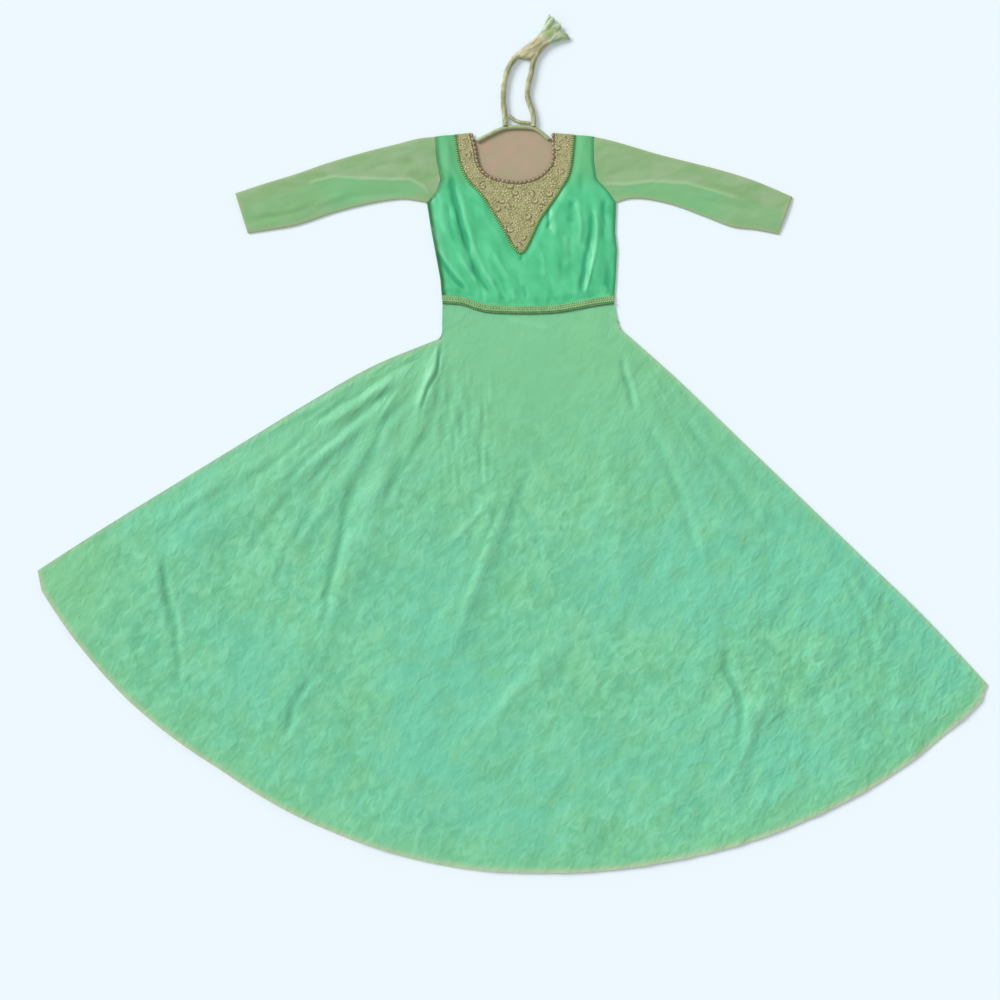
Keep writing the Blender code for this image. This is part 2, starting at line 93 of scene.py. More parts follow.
def plug(tree, value, slot):
    if isinstance(value, Wire):
        tree.links.new(value.socket, slot)
    else:
        slot.default_value = value


class Shader:
    # one material; node() adds any node, its settings first and then its sockets
    def __init__(self, name):
        self.material = bpy.data.materials.new(name)
        self.material.use_nodes = True
        self.tree = self.material.node_tree
        self.surface = self.tree.nodes["Principled BSDF"]

    def node(self, kind, settings=None, sockets=None, output=0):
        node = self.tree.nodes.new(kind)
        for key, value in (settings or {}).items():
            setattr(node, key, value)
        for key, value in (sockets or {}).items():
            plug(self.tree, value, node.inputs[key])
        return Wire(self.tree, node.outputs[output])

    def place(self, turn=0.0, stretch=(1.0, 1.0, 1.0)):
        # a point's place, turned about Z and then stretched along the turned axes
        here = self.node("ShaderNodeTexCoord", output="Object")
        turned = self.node("ShaderNodeMapping", sockets={"Vector": here, "Rotation": (0.0, 0.0, -turn)})
        return self.node("ShaderNodeMapping", sockets={"Vector": turned, "Scale": stretch})

    def noise(self, place, scale, detail=2.0, roughness=0.5, distortion=0.0):
        return self.node("ShaderNodeTexNoise", sockets={
            "Vector": place, "Scale": scale, "Detail": detail, "Roughness": roughness,
            "Distortion": distortion})

    def attribute(self, name):
        return self.node("ShaderNodeAttribute", {"attribute_name": name}, output="Fac")

    def ramp(self, value, stops):
        ramp = self.node("ShaderNodeValToRGB", sockets={"Fac": value})
        elements = ramp.socket.node.color_ramp.elements
        while len(elements) < len(stops):
            elements.new(0.5)
        for element, (position, color) in zip(elements, stops):
            element.position = position
            element.color = (*color, 1.0)
        return ramp

    def threads(self):
        # the fine mesh of a net
        return self.node("ShaderNodeTexVoronoi", {"feature": "DISTANCE_TO_EDGE"},
                         {"Vector": self.place(), "Scale": 800.0})

    def tint(self, color, layers):
        # each layer is an attribute, its full share and the color that it brings
        for name, share, over in layers:
            color = self.mix(self.attribute(name) * share, color, rgba(over))
        return color

    def remap(self, value, low, high, start=0.0, end=1.0):
        return self.node("ShaderNodeMapRange", sockets={
            "Value": value, "From Min": low, "From Max": high, "To Min": start, "To Max": end})

    def mix(self, share, first, second):
        return self.node("ShaderNodeMix", {"data_type": "RGBA"}, {0: share, 6: first, 7: second}, 2)

    def bump(self, height, strength, distance):
        return self.node("ShaderNodeBump", sockets={
            "Height": height, "Strength": strength, "Distance": distance})

    def finish(self, sockets):
        for key, value in sockets.items():
            plug(self.tree, value, self.surface.inputs[key])
        return self.material


def rgba(color):
    return (*color, 1.0)


# Curves: each takes an array of shares from 0 to 1 and gives an array of places

def smoothCurve(points):
    rows = np.array(points, float)
    count = len(rows) - 1

    def place(share):
        where = np.clip(share, 0.0, 1.0) * count
        step = np.minimum(where.astype(int), count - 1)
        f = (where - step)[:, None]
        before, a, b, after = (rows[np.clip(step + k, 0, count)] for k in (-1, 0, 1, 2))
        bend = (2 * before - 5 * a + 4 * b - after) * f ** 2 + (3 * (a - b) + after - before) * f ** 3
        return (2 * a + (b - before) * f + bend) / 2
    return place


def straightCurve(points):
    rows = np.array(points, float)

    def place(share):
        where = np.clip(share, 0.0, 1.0) * (len(rows) - 1)
        steps = np.arange(len(rows))
        return np.stack([np.interp(where, steps, rows[:, axis]) for axis in range(rows.shape[1])], axis=1)
    return place


def evenPlaces(curve, spacing):
    # places along a curve at an even spacing, and the way that it runs at each
    fine = curve(np.linspace(0.0, 1.0, 800))
    reach = np.concatenate([[0.0], np.cumsum(np.hypot(*np.diff(fine, axis=0).T[:2]))])
    count = max(round(reach[-1] / spacing), 2)
    wanted = (np.arange(count) + 0.5) / count * reach[-1]
    places = np.stack([np.interp(wanted, reach, fine[:, axis]) for axis in range(2)], axis=1)
    ways = np.stack([np.interp(wanted + 0.001, reach, fine[:, axis]) for axis in range(2)], axis=1) - places
    return places, np.arctan2(ways[:, 1], ways[:, 0])


def smoothStep(value):
    value = np.clip(value, 0.0, 1.0)
    return value * value * (3 - 2 * value)


def alongChain(points, x, y):
    # distance to a chain, + on its right going along it, and the share of its length there
    nearest = np.full(x.shape, 10.0)
    side = np.ones(x.shape)
    share = np.zeros(x.shape)
    lengths = [math.dist(a, b) for a, b in zip(points, points[1:])]
    done = 0.0
    for a, b, length in zip(points, points[1:], lengths):
        dx, dy = b[0] - a[0], b[1] - a[1]
        t = np.clip(((x - a[0]) * dx + (y - a[1]) * dy) / length ** 2, 0.0, 1.0)
        offX, offY = x - a[0] - t * dx, y - a[1] - t * dy
        distance = np.hypot(offX, offY)
        nearer = distance < nearest
        nearest = np.where(nearer, distance, nearest)
        side = np.where(nearer, np.where(dx * offY - dy * offX > 0, -1.0, 1.0), side)
        share = np.where(nearer, (done + t * length) / sum(lengths), share)
        done += length
    return nearest * side, share


def insideShape(points, x, y):
    inside = np.zeros(x.shape, bool)
    for (ax, ay), (bx, by) in zip(points, np.roll(points, -1, axis=0)):
        if ay != by:
            inside ^= ((ay > y) != (by > y)) & (x < (bx - ax) * (y - ay) / (by - ay) + ax)
    return inside


def softNoise(x, y, size, seed, turn=0.0, stretch=1.0):
    # smooth noise about -1 to 1; size is a bump's width, stretch its length over its width
    along = (x * math.cos(turn) + y * math.sin(turn)) / (size * stretch) + 50.0
    across = (y * math.cos(turn) - x * math.sin(turn)) / size + 50.0
    table = np.random.RandomState(seed).uniform(-1.0, 1.0, (256, 256))
    column, row = np.floor(along).astype(int), np.floor(across).astype(int)
    fx, fy = along - column, across - row
    fx, fy = fx * fx * (3 - 2 * fx), fy * fy * (3 - 2 * fy)
    a, b = table[column % 256, row % 256], table[(column + 1) % 256, row % 256]
    c, d = table[column % 256, (row + 1) % 256], table[(column + 1) % 256, (row + 1) % 256]
    return (a * (1 - fx) + b * fx) * (1 - fy) + (c * (1 - fx) + d * fx) * fy


def warped(x, y, reach):
    # the same places shifted a little, so that a line drawn through them wavers like a fold
    return (x + reach * softNoise(x, y, 0.032, 21), y + reach * softNoise(x, y, 0.032, 22))


def inMetres(rows):
    # creases are drawn in millimetres: the line's points, width, height, and a lip that may be left out
    return [([(x / 1000, y / 1000) for x, y in points], *(size / 1000 for size in (*sizes, 0.0)[:3]))
            for points, *sizes in rows]


def creaseHeight(x, y, crease, spread=1.0):
    # a soft trough or ridge along a smooth line, fading at both ends; lip is a ridge on its right
    points, width, height, lip = crease
    width = width * spread
    line = smoothCurve(points)(np.linspace(0.0, 1.0, 3 * len(points))).tolist()
    off, share = alongChain(line, x, y)
    fade = smoothStep(share / 0.22) * smoothStep((1.0 - share) / 0.25)
    side = np.exp(-((off - 1.8 * width) / (1.2 * width)) ** 2)
    return fade * (height * np.exp(-(off / width) ** 2) + lip * side)


# Mesh helpers

clothWall = {
    "back": 0.0014, "front": 0.0013, "net": 0.0011, "yoke": 0.0011, "trim": 0.0010,
    "tassel": 0.0010, "sleeve": 0.0008,
}
frontClear = 0.0018  # how far the front's outer face stands off the back where they are sewn


def linkPiece(name, data):
    piece = bpy.data.objects.new(name, data)
    bpy.context.scene.collection.objects.link(piece)
    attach(piece, "root")
    return piece


def newPiece(name, bm, materials):
    mesh = bpy.data.meshes.new(name)
    bm.to_mesh(mesh)
    bm.free()
    for material in materials:
        mesh.materials.append(material)
    mesh.polygons.foreach_set("use_smooth", [True] * len(mesh.polygons))
    return linkPiece(name, mesh)


def getPoints(mesh):
    points = np.empty(len(mesh.vertices) * 3)
    mesh.vertices.foreach_get("co", points)
    return points.reshape(-1, 3)


def setPoints(mesh, points):
    mesh.vertices.foreach_set("co", points.reshape(-1))
    mesh.update()


def setAttribute(mesh, name, values):
    layer = mesh.attributes.new(name, "FLOAT", "POINT")
    layer.data.foreach_set("value", values)


def patchPlaces(edges, u, v):
    # the blend of four edge curves: top, bottom, left and right, at u across and v down
    top, bottom, left, right = edges
    across, down = u[:, None], v[:, None]
    start, end = np.zeros(1), np.ones(1)
    ruled = top(u) * (1 - down) + bottom(u) * down + left(v) * (1 - across) + right(v) * across
    upper = top(start) * (1 - across) + top(end) * across
    lower = bottom(start) * (1 - across) + bottom(end) * across
    return ruled - upper * (1 - down) - lower * down


def clothSheet(name, edges, counts, heightOf, material, wall):
    # a shell of cloth inside four edge curves; heightOf gives its upper side
    bm = bmesh.new()
    bmesh.ops.create_grid(bm, x_segments=counts[0], y_segments=counts[1], size=0.5)
    for edge in bm.edges:
        edge.smooth = not edge.is_boundary
    piece = newPiece(name, bm, [material])
    points = getPoints(piece.data)
    u, v = points[:, 0] + 0.5, 0.5 - points[:, 1]
    places = patchPlaces(edges, u, v)
    heights = heightOf(places[:, 0], places[:, 1])
    setPoints(piece.data, np.column_stack([places, heights]))
    addWall(piece, wall)
    return piece, u, v


def addWall(piece, thickness):
    wall = piece.modifiers.new("wall", "SOLIDIFY")
    wall.thickness = thickness
    wall.offset = -1.0


def clothTube(name, counts, material):
    # a grid to be rolled into a tube: the turn around it and the share down it at each point
    bm = bmesh.new()
    bmesh.ops.create_grid(bm, x_segments=counts[0], y_segments=counts[1], size=0.5)
    piece = newPiece(name, bm, [material])
    points = getPoints(piece.data)
    return piece, (points[:, 0] + 0.5) * 2 * math.pi, 0.5 - points[:, 1]


def closeTube(piece, wall):
    # joins the tube's long seam, turns its faces outwards and gives it its wall
    bm = bmesh.new()
    bm.from_mesh(piece.data)
    bmesh.ops.remove_doubles(bm, verts=bm.verts, dist=0.00001)
    bmesh.ops.recalc_face_normals(bm, faces=bm.faces)
    bm.to_mesh(piece.data)
    bm.free()
    addWall(piece, wall)


def roundCord(name, places, radius, height, swells, roundness, material):
    # a round cord of cloth along places, with its thickness at each times the swell there
    curve = bpy.data.curves.new(name, "CURVE")
    curve.dimensions = "3D"
    curve.bevel_depth = radius
    curve.bevel_resolution = roundness
    curve.use_fill_caps = True
    spline = curve.splines.new("POLY")
    spline.points.add(len(places) - 1)
    for point, (x, y), swell in zip(spline.points, places, swells):
        point.co = (x, y, height, 1.0)
        point.radius = swell
    curve.materials.append(material)
    return linkPiece(name, curve)


def sheetArea(piece):
    return sum(face.area for face in piece.data.polygons)


def declareLaid(piece, restsOn):
    # reads the piece's points, its cloth area and what it rests on, and keeps none of them
    points = getPoints(piece.data)
    sheetArea(piece)
    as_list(restsOn)


def scatter(bm, shape, matrices, slot):
    # one copy of a small shape for each matrix, in one material slot
    for matrix in matrices:
        firstVert, firstFace = len(bm.verts), len(bm.faces)
        bm.from_mesh(shape)
        bm.verts.ensure_lookup_table()
        bm.faces.ensure_lookup_table()
        bmesh.ops.transform(bm, matrix=matrix, verts=bm.verts[firstVert:])
        for face in bm.faces[firstFace:]:
            face.material_index = slot


def upAndRound(face):
    # a number that rises up a small shape and round it
    x, y, z = face.calc_center_median()
    return 100.0 * round(z, 3) + math.atan2(round(y, 3), round(x, 3))


def stitchShape():
    # a round bead of few faces, the pattern for every petal, leaf and bead
    bm = bmesh.new()
    bmesh.ops.create_uvsphere(bm, u_segments=6, v_segments=4, radius=1.0)
    bm.faces.sort(key=upAndRound)  # the operator gives them in no fixed order
    mesh = bpy.data.meshes.new("stitch")
    bm.to_mesh(mesh)
    bm.free()
    return mesh


def placed(x, y, z, turn=0.0, size=(1.0, 1.0, 1.0)):
    return Matrix.LocRotScale(Vector((x, y, z)), Matrix.Rotation(turn, 3, "Z"), Vector(size))


# Camera, floor and lights

stageLook = {
    "viewCenter": (-0.033, 0.0),
    "viewWidth": 2.0,
    "lens": 60.0,
    "floorSize": 60.0,
    "floorDrop": 0.0004,
    "floorColor": (0.720, 0.800, 0.845),
    "floorGlow": (0.860, 0.940, 0.990),
    "floorGlowStrength": 0.12,
    "skyColor": (0.98, 0.99, 1.0),
    "skyStrength": 0.56,
    "keyStrength": 2.70,
    "keyWay": (-0.76, 0.48, 0.62),
    "keySoftness": math.radians(26.0),
}


def makeStage():
    print("stage")
    scene = bpy.context.scene
    scene.view_settings.view_transform = "Standard"
    cameraData = bpy.data.cameras.new("camera")
    cameraData.lens = stageLook["lens"]
    camera = bpy.data.objects.new("camera", cameraData)
    scene.collection.objects.link(camera)
    distance = stageLook["viewWidth"] * cameraData.lens / cameraData.sensor_width
    camera.location = (*stageLook["viewCenter"], distance)
    scene.camera = camera

    bm = bmesh.new()
    bmesh.ops.create_grid(bm, x_segments=1, y_segments=1, size=stageLook["floorSize"])
    bmesh.ops.translate(bm, verts=bm.verts, vec=(0.0, 0.0, -stageLook["floorDrop"]))
    mesh = bpy.data.meshes.new("floor")
    bm.to_mesh(mesh)
    bm.free()
    floor = bpy.data.objects.new("floor", mesh)
    scene.collection.objects.link(floor)
    mesh.materials.append(Shader("paleFloor").finish({
        "Base Color": rgba(stageLook["floorColor"]), "Roughness": 0.9,
        "Specular IOR Level": 0.0, "Emission Color": rgba(stageLook["floorGlow"]),
        "Emission Strength": stageLook["floorGlowStrength"]}))

    world = bpy.data.worlds.new("softRoom")
    scene.world = world
    world.use_nodes = True
    sky = world.node_tree.nodes["Background"]
    sky.inputs["Color"].default_value = rgba(stageLook["skyColor"])
    sky.inputs["Strength"].default_value = stageLook["skyStrength"]
    key = bpy.data.lights.new("keyLight", "SUN")
    key.energy = stageLook["keyStrength"]
    key.angle = stageLook["keySoftness"]
    light = bpy.data.objects.new("keyLight", key)
    scene.collection.objects.link(light)
    way = Vector(stageLook["keyWay"])
    light.location = way * 3.0
    light.rotation_euler = (-way).to_track_quat("-Z", "Y").to_euler()


# Ties and tassel

tieShape = {
    "radius": 0.0055,
    "barRadius": 0.0037,
    "pointEvery": 0.004,
    "leftRoute": (
        (-0.0225, 0.7470), (-0.0240, 0.7720), (-0.0265, 0.7960), (-0.0260, 0.8180),
        (-0.0225, 0.8420), (-0.0150, 0.8650), (-0.0010, 0.8840), (0.0170, 0.8985),
        (0.0330, 0.9080), (0.0475, 0.9200),
    ),
    "rightRoute": (
        (0.0340, 0.7460), (0.0330, 0.7690), (0.0265, 0.7900), (0.0215, 0.8090),
        (0.0240, 0.8320), (0.0290, 0.8520), (0.0320, 0.8700), (0.0385, 0.8870),
        (0.0470, 0.8985), (0.0560, 0.9090),
    ),
    "shades": ((0.36, (0.255, 0.275, 0.135)), (0.50, (0.385, 0.390, 0.220)), (0.64, (0.560, 0.545, 0.360))),
    "barRoute": ((-0.0138, 0.7676), (-0.0040, 0.7590), (0.0100, 0.7545), (0.0268, 0.7540)),
}


def makeCord(name, route, radius, material, seed):
    length = sum(math.dist(a, b) for a, b in zip(route, route[1:]))
    count = round(length / tieShape["pointEvery"])
    places = smoothCurve(route)(np.linspace(0.0, 1.0, count + 1))
    rng = random.Random(seed)
    swells = [1.0 - 0.10 * rng.random() for _ in places]
    piece = roundCord(name, places, radius, radius, swells, 5, material)
    return piece, length


def makeTies():
    print("ties")
    cloth = tieCloth()
    radius = tieShape["radius"]
    left, leftLength = makeCord("tieLeft", tieShape["leftRoute"], radius, cloth, 1)
    right, rightLength = makeCord("tieRight", tieShape["rightRoute"], radius, cloth, 2)
    bar, barLength = makeCord("tieBar", tieShape["barRoute"], tieShape["barRadius"], cloth, 3)
    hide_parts("tie_left")
    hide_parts("tie_right")
    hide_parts("tie_bar")
    tassel = makeTassel()
    for tie, length, route in ((left, leftLength, "leftRoute"), (right, rightLength, "rightRoute")):
        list(tieShape[route][0])
    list(tieShape["barRoute"][0])


def tieCloth():
    shader = Shader("tieCloth")
    wraps = shader.noise(shader.place(math.radians(78.0), (0.30, 1.0, 1.0)), 190.0, 2.0, 0.5, 0.6)
    patches = shader.noise(shader.place(), 45.0, 1.0)
    weave = shader.noise(shader.place(), 900.0, 2.0)
    color = shader.ramp(wraps * 0.55 + patches * 0.45, tieShape["shades"])
    return shader.finish({
        "Base Color": color, "Roughness": 0.66, "Specular IOR Level": 0.3,
        "Normal": shader.bump(wraps * 0.9 + weave * 0.2, 0.6, 0.0022)})


tasselShape = {
    "neck": (0.0525, 0.9170),
    "turn": math.radians(-50.0),
    "pleats": 8,
    "grid": (96, 60),
    "bell": ((0.32, (0.205, 0.300, 0.120)), (0.50, (0.400, 0.500, 0.310)), (0.68, (0.600, 0.680, 0.520))),
    "gather": ((0.34, (0.330, 0.310, 0.160)), (0.50, (0.470, 0.440, 0.260)), (0.66, (0.600, 0.560, 0.380))),
    "core": (0.250, 0.350, 0.070),
    # reach from the neck, half width, height; it starts where the two ties meet
    "rings": (
        (-0.056, 0.0150, 0.0040), (-0.050, 0.0155, 0.0118), (-0.036, 0.0145, 0.0126),
        (-0.018, 0.0142, 0.0130),
        (0.000, 0.0142, 0.0132), (0.009, 0.0162, 0.0132), (0.024, 0.0218, 0.0130), (0.037, 0.0282, 0.0112),
        (0.044, 0.0312, 0.0085),
    ),
}


def makeTassel():
    shader = Shader("tasselCloth")
    streaks = shader.noise(shader.place(math.radians(40.0), (0.3, 1.0, 1.0)), 170.0, 3.0, 0.55, 0.5)
    bell, gathered = (shader.ramp(streaks, tasselShape[part]) for part in ("bell", "gather"))
    color = shader.mix(shader.attribute("gather"), bell, gathered)
    color = shader.tint(color, (("core", 0.9, tasselShape["core"]),))
    cloth = shader.finish({
        "Base Color": color, "Roughness": 0.6, "Specular IOR Level": 0.3,
        "Normal": shader.bump(streaks, 0.6, 0.002)})

    piece, around, down = clothTube("tasselBell", tasselShape["grid"], cloth)
    rings = smoothCurve(tasselShape["rings"])(down)
    pleats = np.cos(tasselShape["pleats"] * around + 0.6 * np.sin(3 * around))
    opening = 0.3 + 0.7 * smoothStep((down - 0.5) / 0.4)
    slant = 0.9 * rings[:, 1] * np.cos(around) * smoothStep((0.45 - down) / 0.45)
    flutter = 0.0035 * opening * pleats * smoothStep((down - 0.6) / 0.4) * np.sin(around) ** 2
    reach = rings[:, 0] + slant + flutter
    width = rings[:, 1] * (1.0 + 0.05 * opening * pleats)
    across = width * np.cos(around)
    up = rings[:, 2] * (0.5 + 0.5 * np.sin(around) * (1.0 + 0.16 * opening * pleats))
    turn = tasselShape["turn"]
    x = tasselShape["neck"][0] - reach * math.sin(turn) + across * math.cos(turn)
    y = tasselShape["neck"][1] + reach * math.cos(turn) + across * math.sin(turn)
    setPoints(piece.data, np.column_stack([x, y, np.maximum(up, 0.0)]))
    middle = np.exp(-((across + 0.002) / 0.0055) ** 2) * smoothStep(1.0 - abs(reach - 0.018) / 0.020)
    setAttribute(piece.data, "core", middle * (np.sin(around) > -0.2))
    setAttribute(piece.data, "gather", smoothStep((0.012 - reach) / 0.016))
    closeTube(piece, clothWall["tassel"])
    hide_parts("tassel")
    return piece


# The gown's outlines, in metres

waistSeam = (
    (-0.148, 0.392), (-0.110, 0.389), (-0.080, 0.379), (-0.050, 0.373), (0.020, 0.371),
    (0.075, 0.373), (0.115, 0.379), (0.157, 0.387), (0.195, 0.392),
)
neckline = (
    (-0.091, 0.733), (-0.083, 0.698), (-0.077, 0.669), (-0.059, 0.648), (-0.031, 0.638),
    (0.006, 0.634), (0.040, 0.642), (0.064, 0.661), (0.074, 0.682), (0.073, 0.733),
)
yokeEdge = (
    (-0.124, 0.730), (-0.115, 0.678), (-0.098, 0.640), (-0.071, 0.610), (-0.036, 0.556),
    (0.008, 0.494), (0.046, 0.560), (0.086, 0.618), (0.107, 0.660), (0.115, 0.730),
)
backNeck = (
    (-0.163, 0.726), (-0.091, 0.733), (-0.079, 0.719), (-0.055, 0.732), (-0.028, 0.744),
    (0.003, 0.747), (0.038, 0.743), (0.064, 0.723), (0.074, 0.733), (0.155, 0.728),
)
bodiceLeft = (
    (-0.163, 0.726), (-0.159, 0.676), (-0.151, 0.640), (-0.160, 0.616), (-0.179, 0.594),
    (-0.170, 0.536), (-0.163, 0.500), (-0.152, 0.440), (-0.150, 0.414), (-0.148, 0.392),
)
bodiceRight = (
    (0.155, 0.726), (0.155, 0.676), (0.161, 0.640), (0.184, 0.616), (0.199, 0.594),
    (0.197, 0.536), (0.201, 0.500), (0.198, 0.440), (0.196, 0.414), (0.195, 0.392),
)
armholeRows = 5
backYokeRows = 4
waistMiddle = (0.023, 0.380)
# The hem: angle from straight down, + to the right, and reach from the middle of the waist
hemReach = (
    (-62.0, 1.110), (-60.0, 1.122), (-46.0, 1.117), (-34.0, 1.105), (-22.0, 1.113), (-8.0, 1.123),
    (2.0, 1.125), (14.0, 1.136), (26.0, 1.156), (38.0, 1.179), (46.0, 1.191), (49.2, 1.196),
    (50.8, 1.185),
)
seamAngle = {"left": -9.6, "right": 18.3}
seamStart = {"left": 0.050, "right": 0.026}
skirtLeft = (
    (-0.152, 0.323), (-0.288, 0.267), (-0.420, 0.192), (-0.553, 0.111), (-0.687, 0.029),
    (-0.822, -0.054), (-0.957, -0.141),
)
skirtRight = (
    (0.203, 0.346), (0.319, 0.243), (0.442, 0.125), (0.567, 0.005), (0.692, -0.115),
    (0.817, -0.236), (0.941, -0.369),
)


def hemCurve(first, last):
    angles, reaches = zip(*hemReach)

    def place(share):
        angle = first + (last - first) * share
        reach, turn = np.interp(angle, angles, reaches), np.radians(angle)
        x, y = waistMiddle[0] + reach * np.sin(turn), waistMiddle[1] - reach * np.cos(turn)
        return np.stack([x, y], axis=1)
    return place


def seamLine(side):
    angle = seamAngle[side]
    end = hemCurve(angle, angle)(np.zeros(1))[0]
    start = np.array(waistSeam[0] if side == "left" else waistSeam[-1])
    return start, end


# Satin

skirtLook = {
    "shadow": (0.145, 0.490, 0.265),
    "middle": (0.180, 0.558, 0.315),
    "light": (0.222, 0.630, 0.370),
    "cool": (0.152, 0.565, 0.385),
    "olive": (0.210, 0.530, 0.240),
    "upper": (0.205, 0.548, 0.268),
    # painted shade laid into the creases, and painted highlight along the ridges beside them
    "paintedCreaseShade": (0.105, 0.410, 0.225),
    "ridge": (0.275, 0.690, 0.430),
    "hem": (0.470, 0.550, 0.350),
    "crinkleTurn": math.radians(55.0),
    "creaseDepth": 0.56,
    "creaseSpread": 1.35,
    "leftFan": (-0.158, 0.345),
    "rightFan": (0.212, 0.365),
    "loft": 0.0030,
    "grids": {"left": (222, 190), "center": (180, 226), "right": (208, 198)},
}


def skirtSatin():
    look = skirtLook
    shader = Shader("crushedSatin")
    strokes = shader.place(look["crinkleTurn"], (0.66, 1.0, 1.0))
    fine = shader.noise(strokes, 135.0, 1.0, 0.5, 0.3)
    medium = shader.noise(strokes, 64.0, 1.0, 0.5, 0.6)
    lumps = shader.noise(strokes, 36.0, 1.0, 0.5, 0.5)
    broad = shader.noise(shader.place(), 9.0, 2.0, 0.5)
    patches = shader.noise(shader.place(0.9, (0.7, 1.0, 1.0)), 26.0, 2.0, 0.6)
    weave = shader.noise(shader.place(0.0, (1.0, 0.3, 1.0)), 1400.0, 1.0)
    crushed = shader.attribute("crushed")
    relief = (fine * 0.22 + medium * 0.70 + lumps * 0.65) * crushed + weave * 0.03
    # the colour follows mostly the same noise as the bump: painted shade in the crinkles' hollows and painted
    # light on their crests, over a broad random tone
    crinkleShadeAndTone = fine * 0.15 + medium * 0.45 + lumps * 0.15 + broad * 0.25
    color = shader.ramp(crinkleShadeAndTone, ((0.40, look["shadow"]), (0.50, look["middle"]), (0.60, look["light"])))
    color = shader.tint(color, (("cool", 0.62, look["cool"]),))
    color = shader.mix(shader.remap(patches, 0.50, 0.66, 0.0, 0.28), color, rgba(look["olive"]))
    color = shader.mix(shader.remap(patches, 0.46, 0.32, 0.0, 0.28), color, rgba(look["cool"]))
    # the crease and ridge layers paint shade into the creases and a highlight along the ridges
    color = shader.tint(color, (
        ("upper", 1.0, look["upper"]), ("paintedCreaseShade", 0.60, look["paintedCreaseShade"]), ("ridge", 0.40, look["ridge"]),
        ("hemBand", 1.0, look["hem"])))
    return shader.finish({
        "Base Color": color, "Roughness": shader.remap(medium, 0.3, 0.7, 0.40, 0.54),
        "Specular IOR Level": 0.25,
        "Normal": shader.bump(relief, 0.55, 0.0042)})


bodiceLook = {
    "shadow": (0.067, 0.490, 0.215),
    "middle": (0.087, 0.550, 0.252),
    "light": (0.112, 0.605, 0.292),
    # painted shade laid into the creases, and painted highlight along the ridges beside them
    "paintedCreaseShade": (0.020, 0.330, 0.150),
    "ridge": (0.195, 0.690, 0.390),
    # painted shadow along the side seams
    "edge": (0.022, 0.150, 0.045),
    "strap": (0.150, 0.480, 0.205),
    "creaseDepth": 0.58,
    "creaseSpread": 1.10,
    "loft": 0.0024,
}


def bodiceSatin():
    look = bodiceLook
    shader = Shader("bodiceSatin")
    soft = shader.noise(shader.place(math.radians(-70.0), (0.45, 1.0, 1.0)), 48.0, 1.0, 0.5, 0.5)
    broad = shader.noise(shader.place(), 20.0, 2.0)
    weave = shader.noise(shader.place(0.0, (1.0, 0.3, 1.0)), 1400.0, 1.0)
    # the colour follows in part the bump's noise: painted shade in its hollows and painted light on its
    # crests, over a broad random tone
    color = shader.ramp(soft * 0.5 + broad * 0.5, (
        (0.36, look["shadow"]), (0.50, look["middle"]), (0.64, look["light"])))
    # the crease and ridge layers paint shade into the creases and a highlight along the ridges
    color = shader.tint(color, (
        ("strap", 1.0, look["strap"]), ("paintedCreaseShade", 0.75, look["paintedCreaseShade"]), ("ridge", 0.50, look["ridge"]),
        # painted shadow along the side seams
        ("edge", 1.0, look["edge"])))
    return shader.finish({
        "Base Color": color, "Roughness": 0.38, "Specular IOR Level": 0.30,
        "Normal": shader.bump(soft + weave * 0.05, 0.4, 0.003)})


# Skirt

# A lip is a ridge beside the crease, on the right going along its line
skirtBroad = inMetres((
    (((-153, 330), (-170, 240), (-195, 150)), 16, 5),
    (((-170, 200), (-225, 85), (-300, -30)), 22, 4),
    (((-300, 160), (-540, -10), (-800, -220)), 30, 3.5),
    (((-180, 262), (-290, 205), (-430, 125)), 12, 2.8),
    (((-190, 240), (-330, 130), (-520, -10)), 14, 2.6),
    (((-190, 215), (-340, 40), (-520, -180)), 18, 3),
    (((-250, 20), (-400, -270), (-520, -560)), 34, 3),
    (((-15, 60), (-75, -140), (-150, -340)), 28, 4),
    (((110, -250), (0, -400), (-140, -560)), 28, 3),
    (((180, 180), (205, -50), (210, -300)), 30, 3),
    (((225, 255), (360, 40), (490, -180)), 22, 3.6),
    (((235, 275), (420, 100), (600, -100)), 14, 2.6),
    (((560, -10), (690, -200), (810, -400)), 34, 3.5),
    (((520, -330), (460, -470), (380, -600)), 26, 3),
))
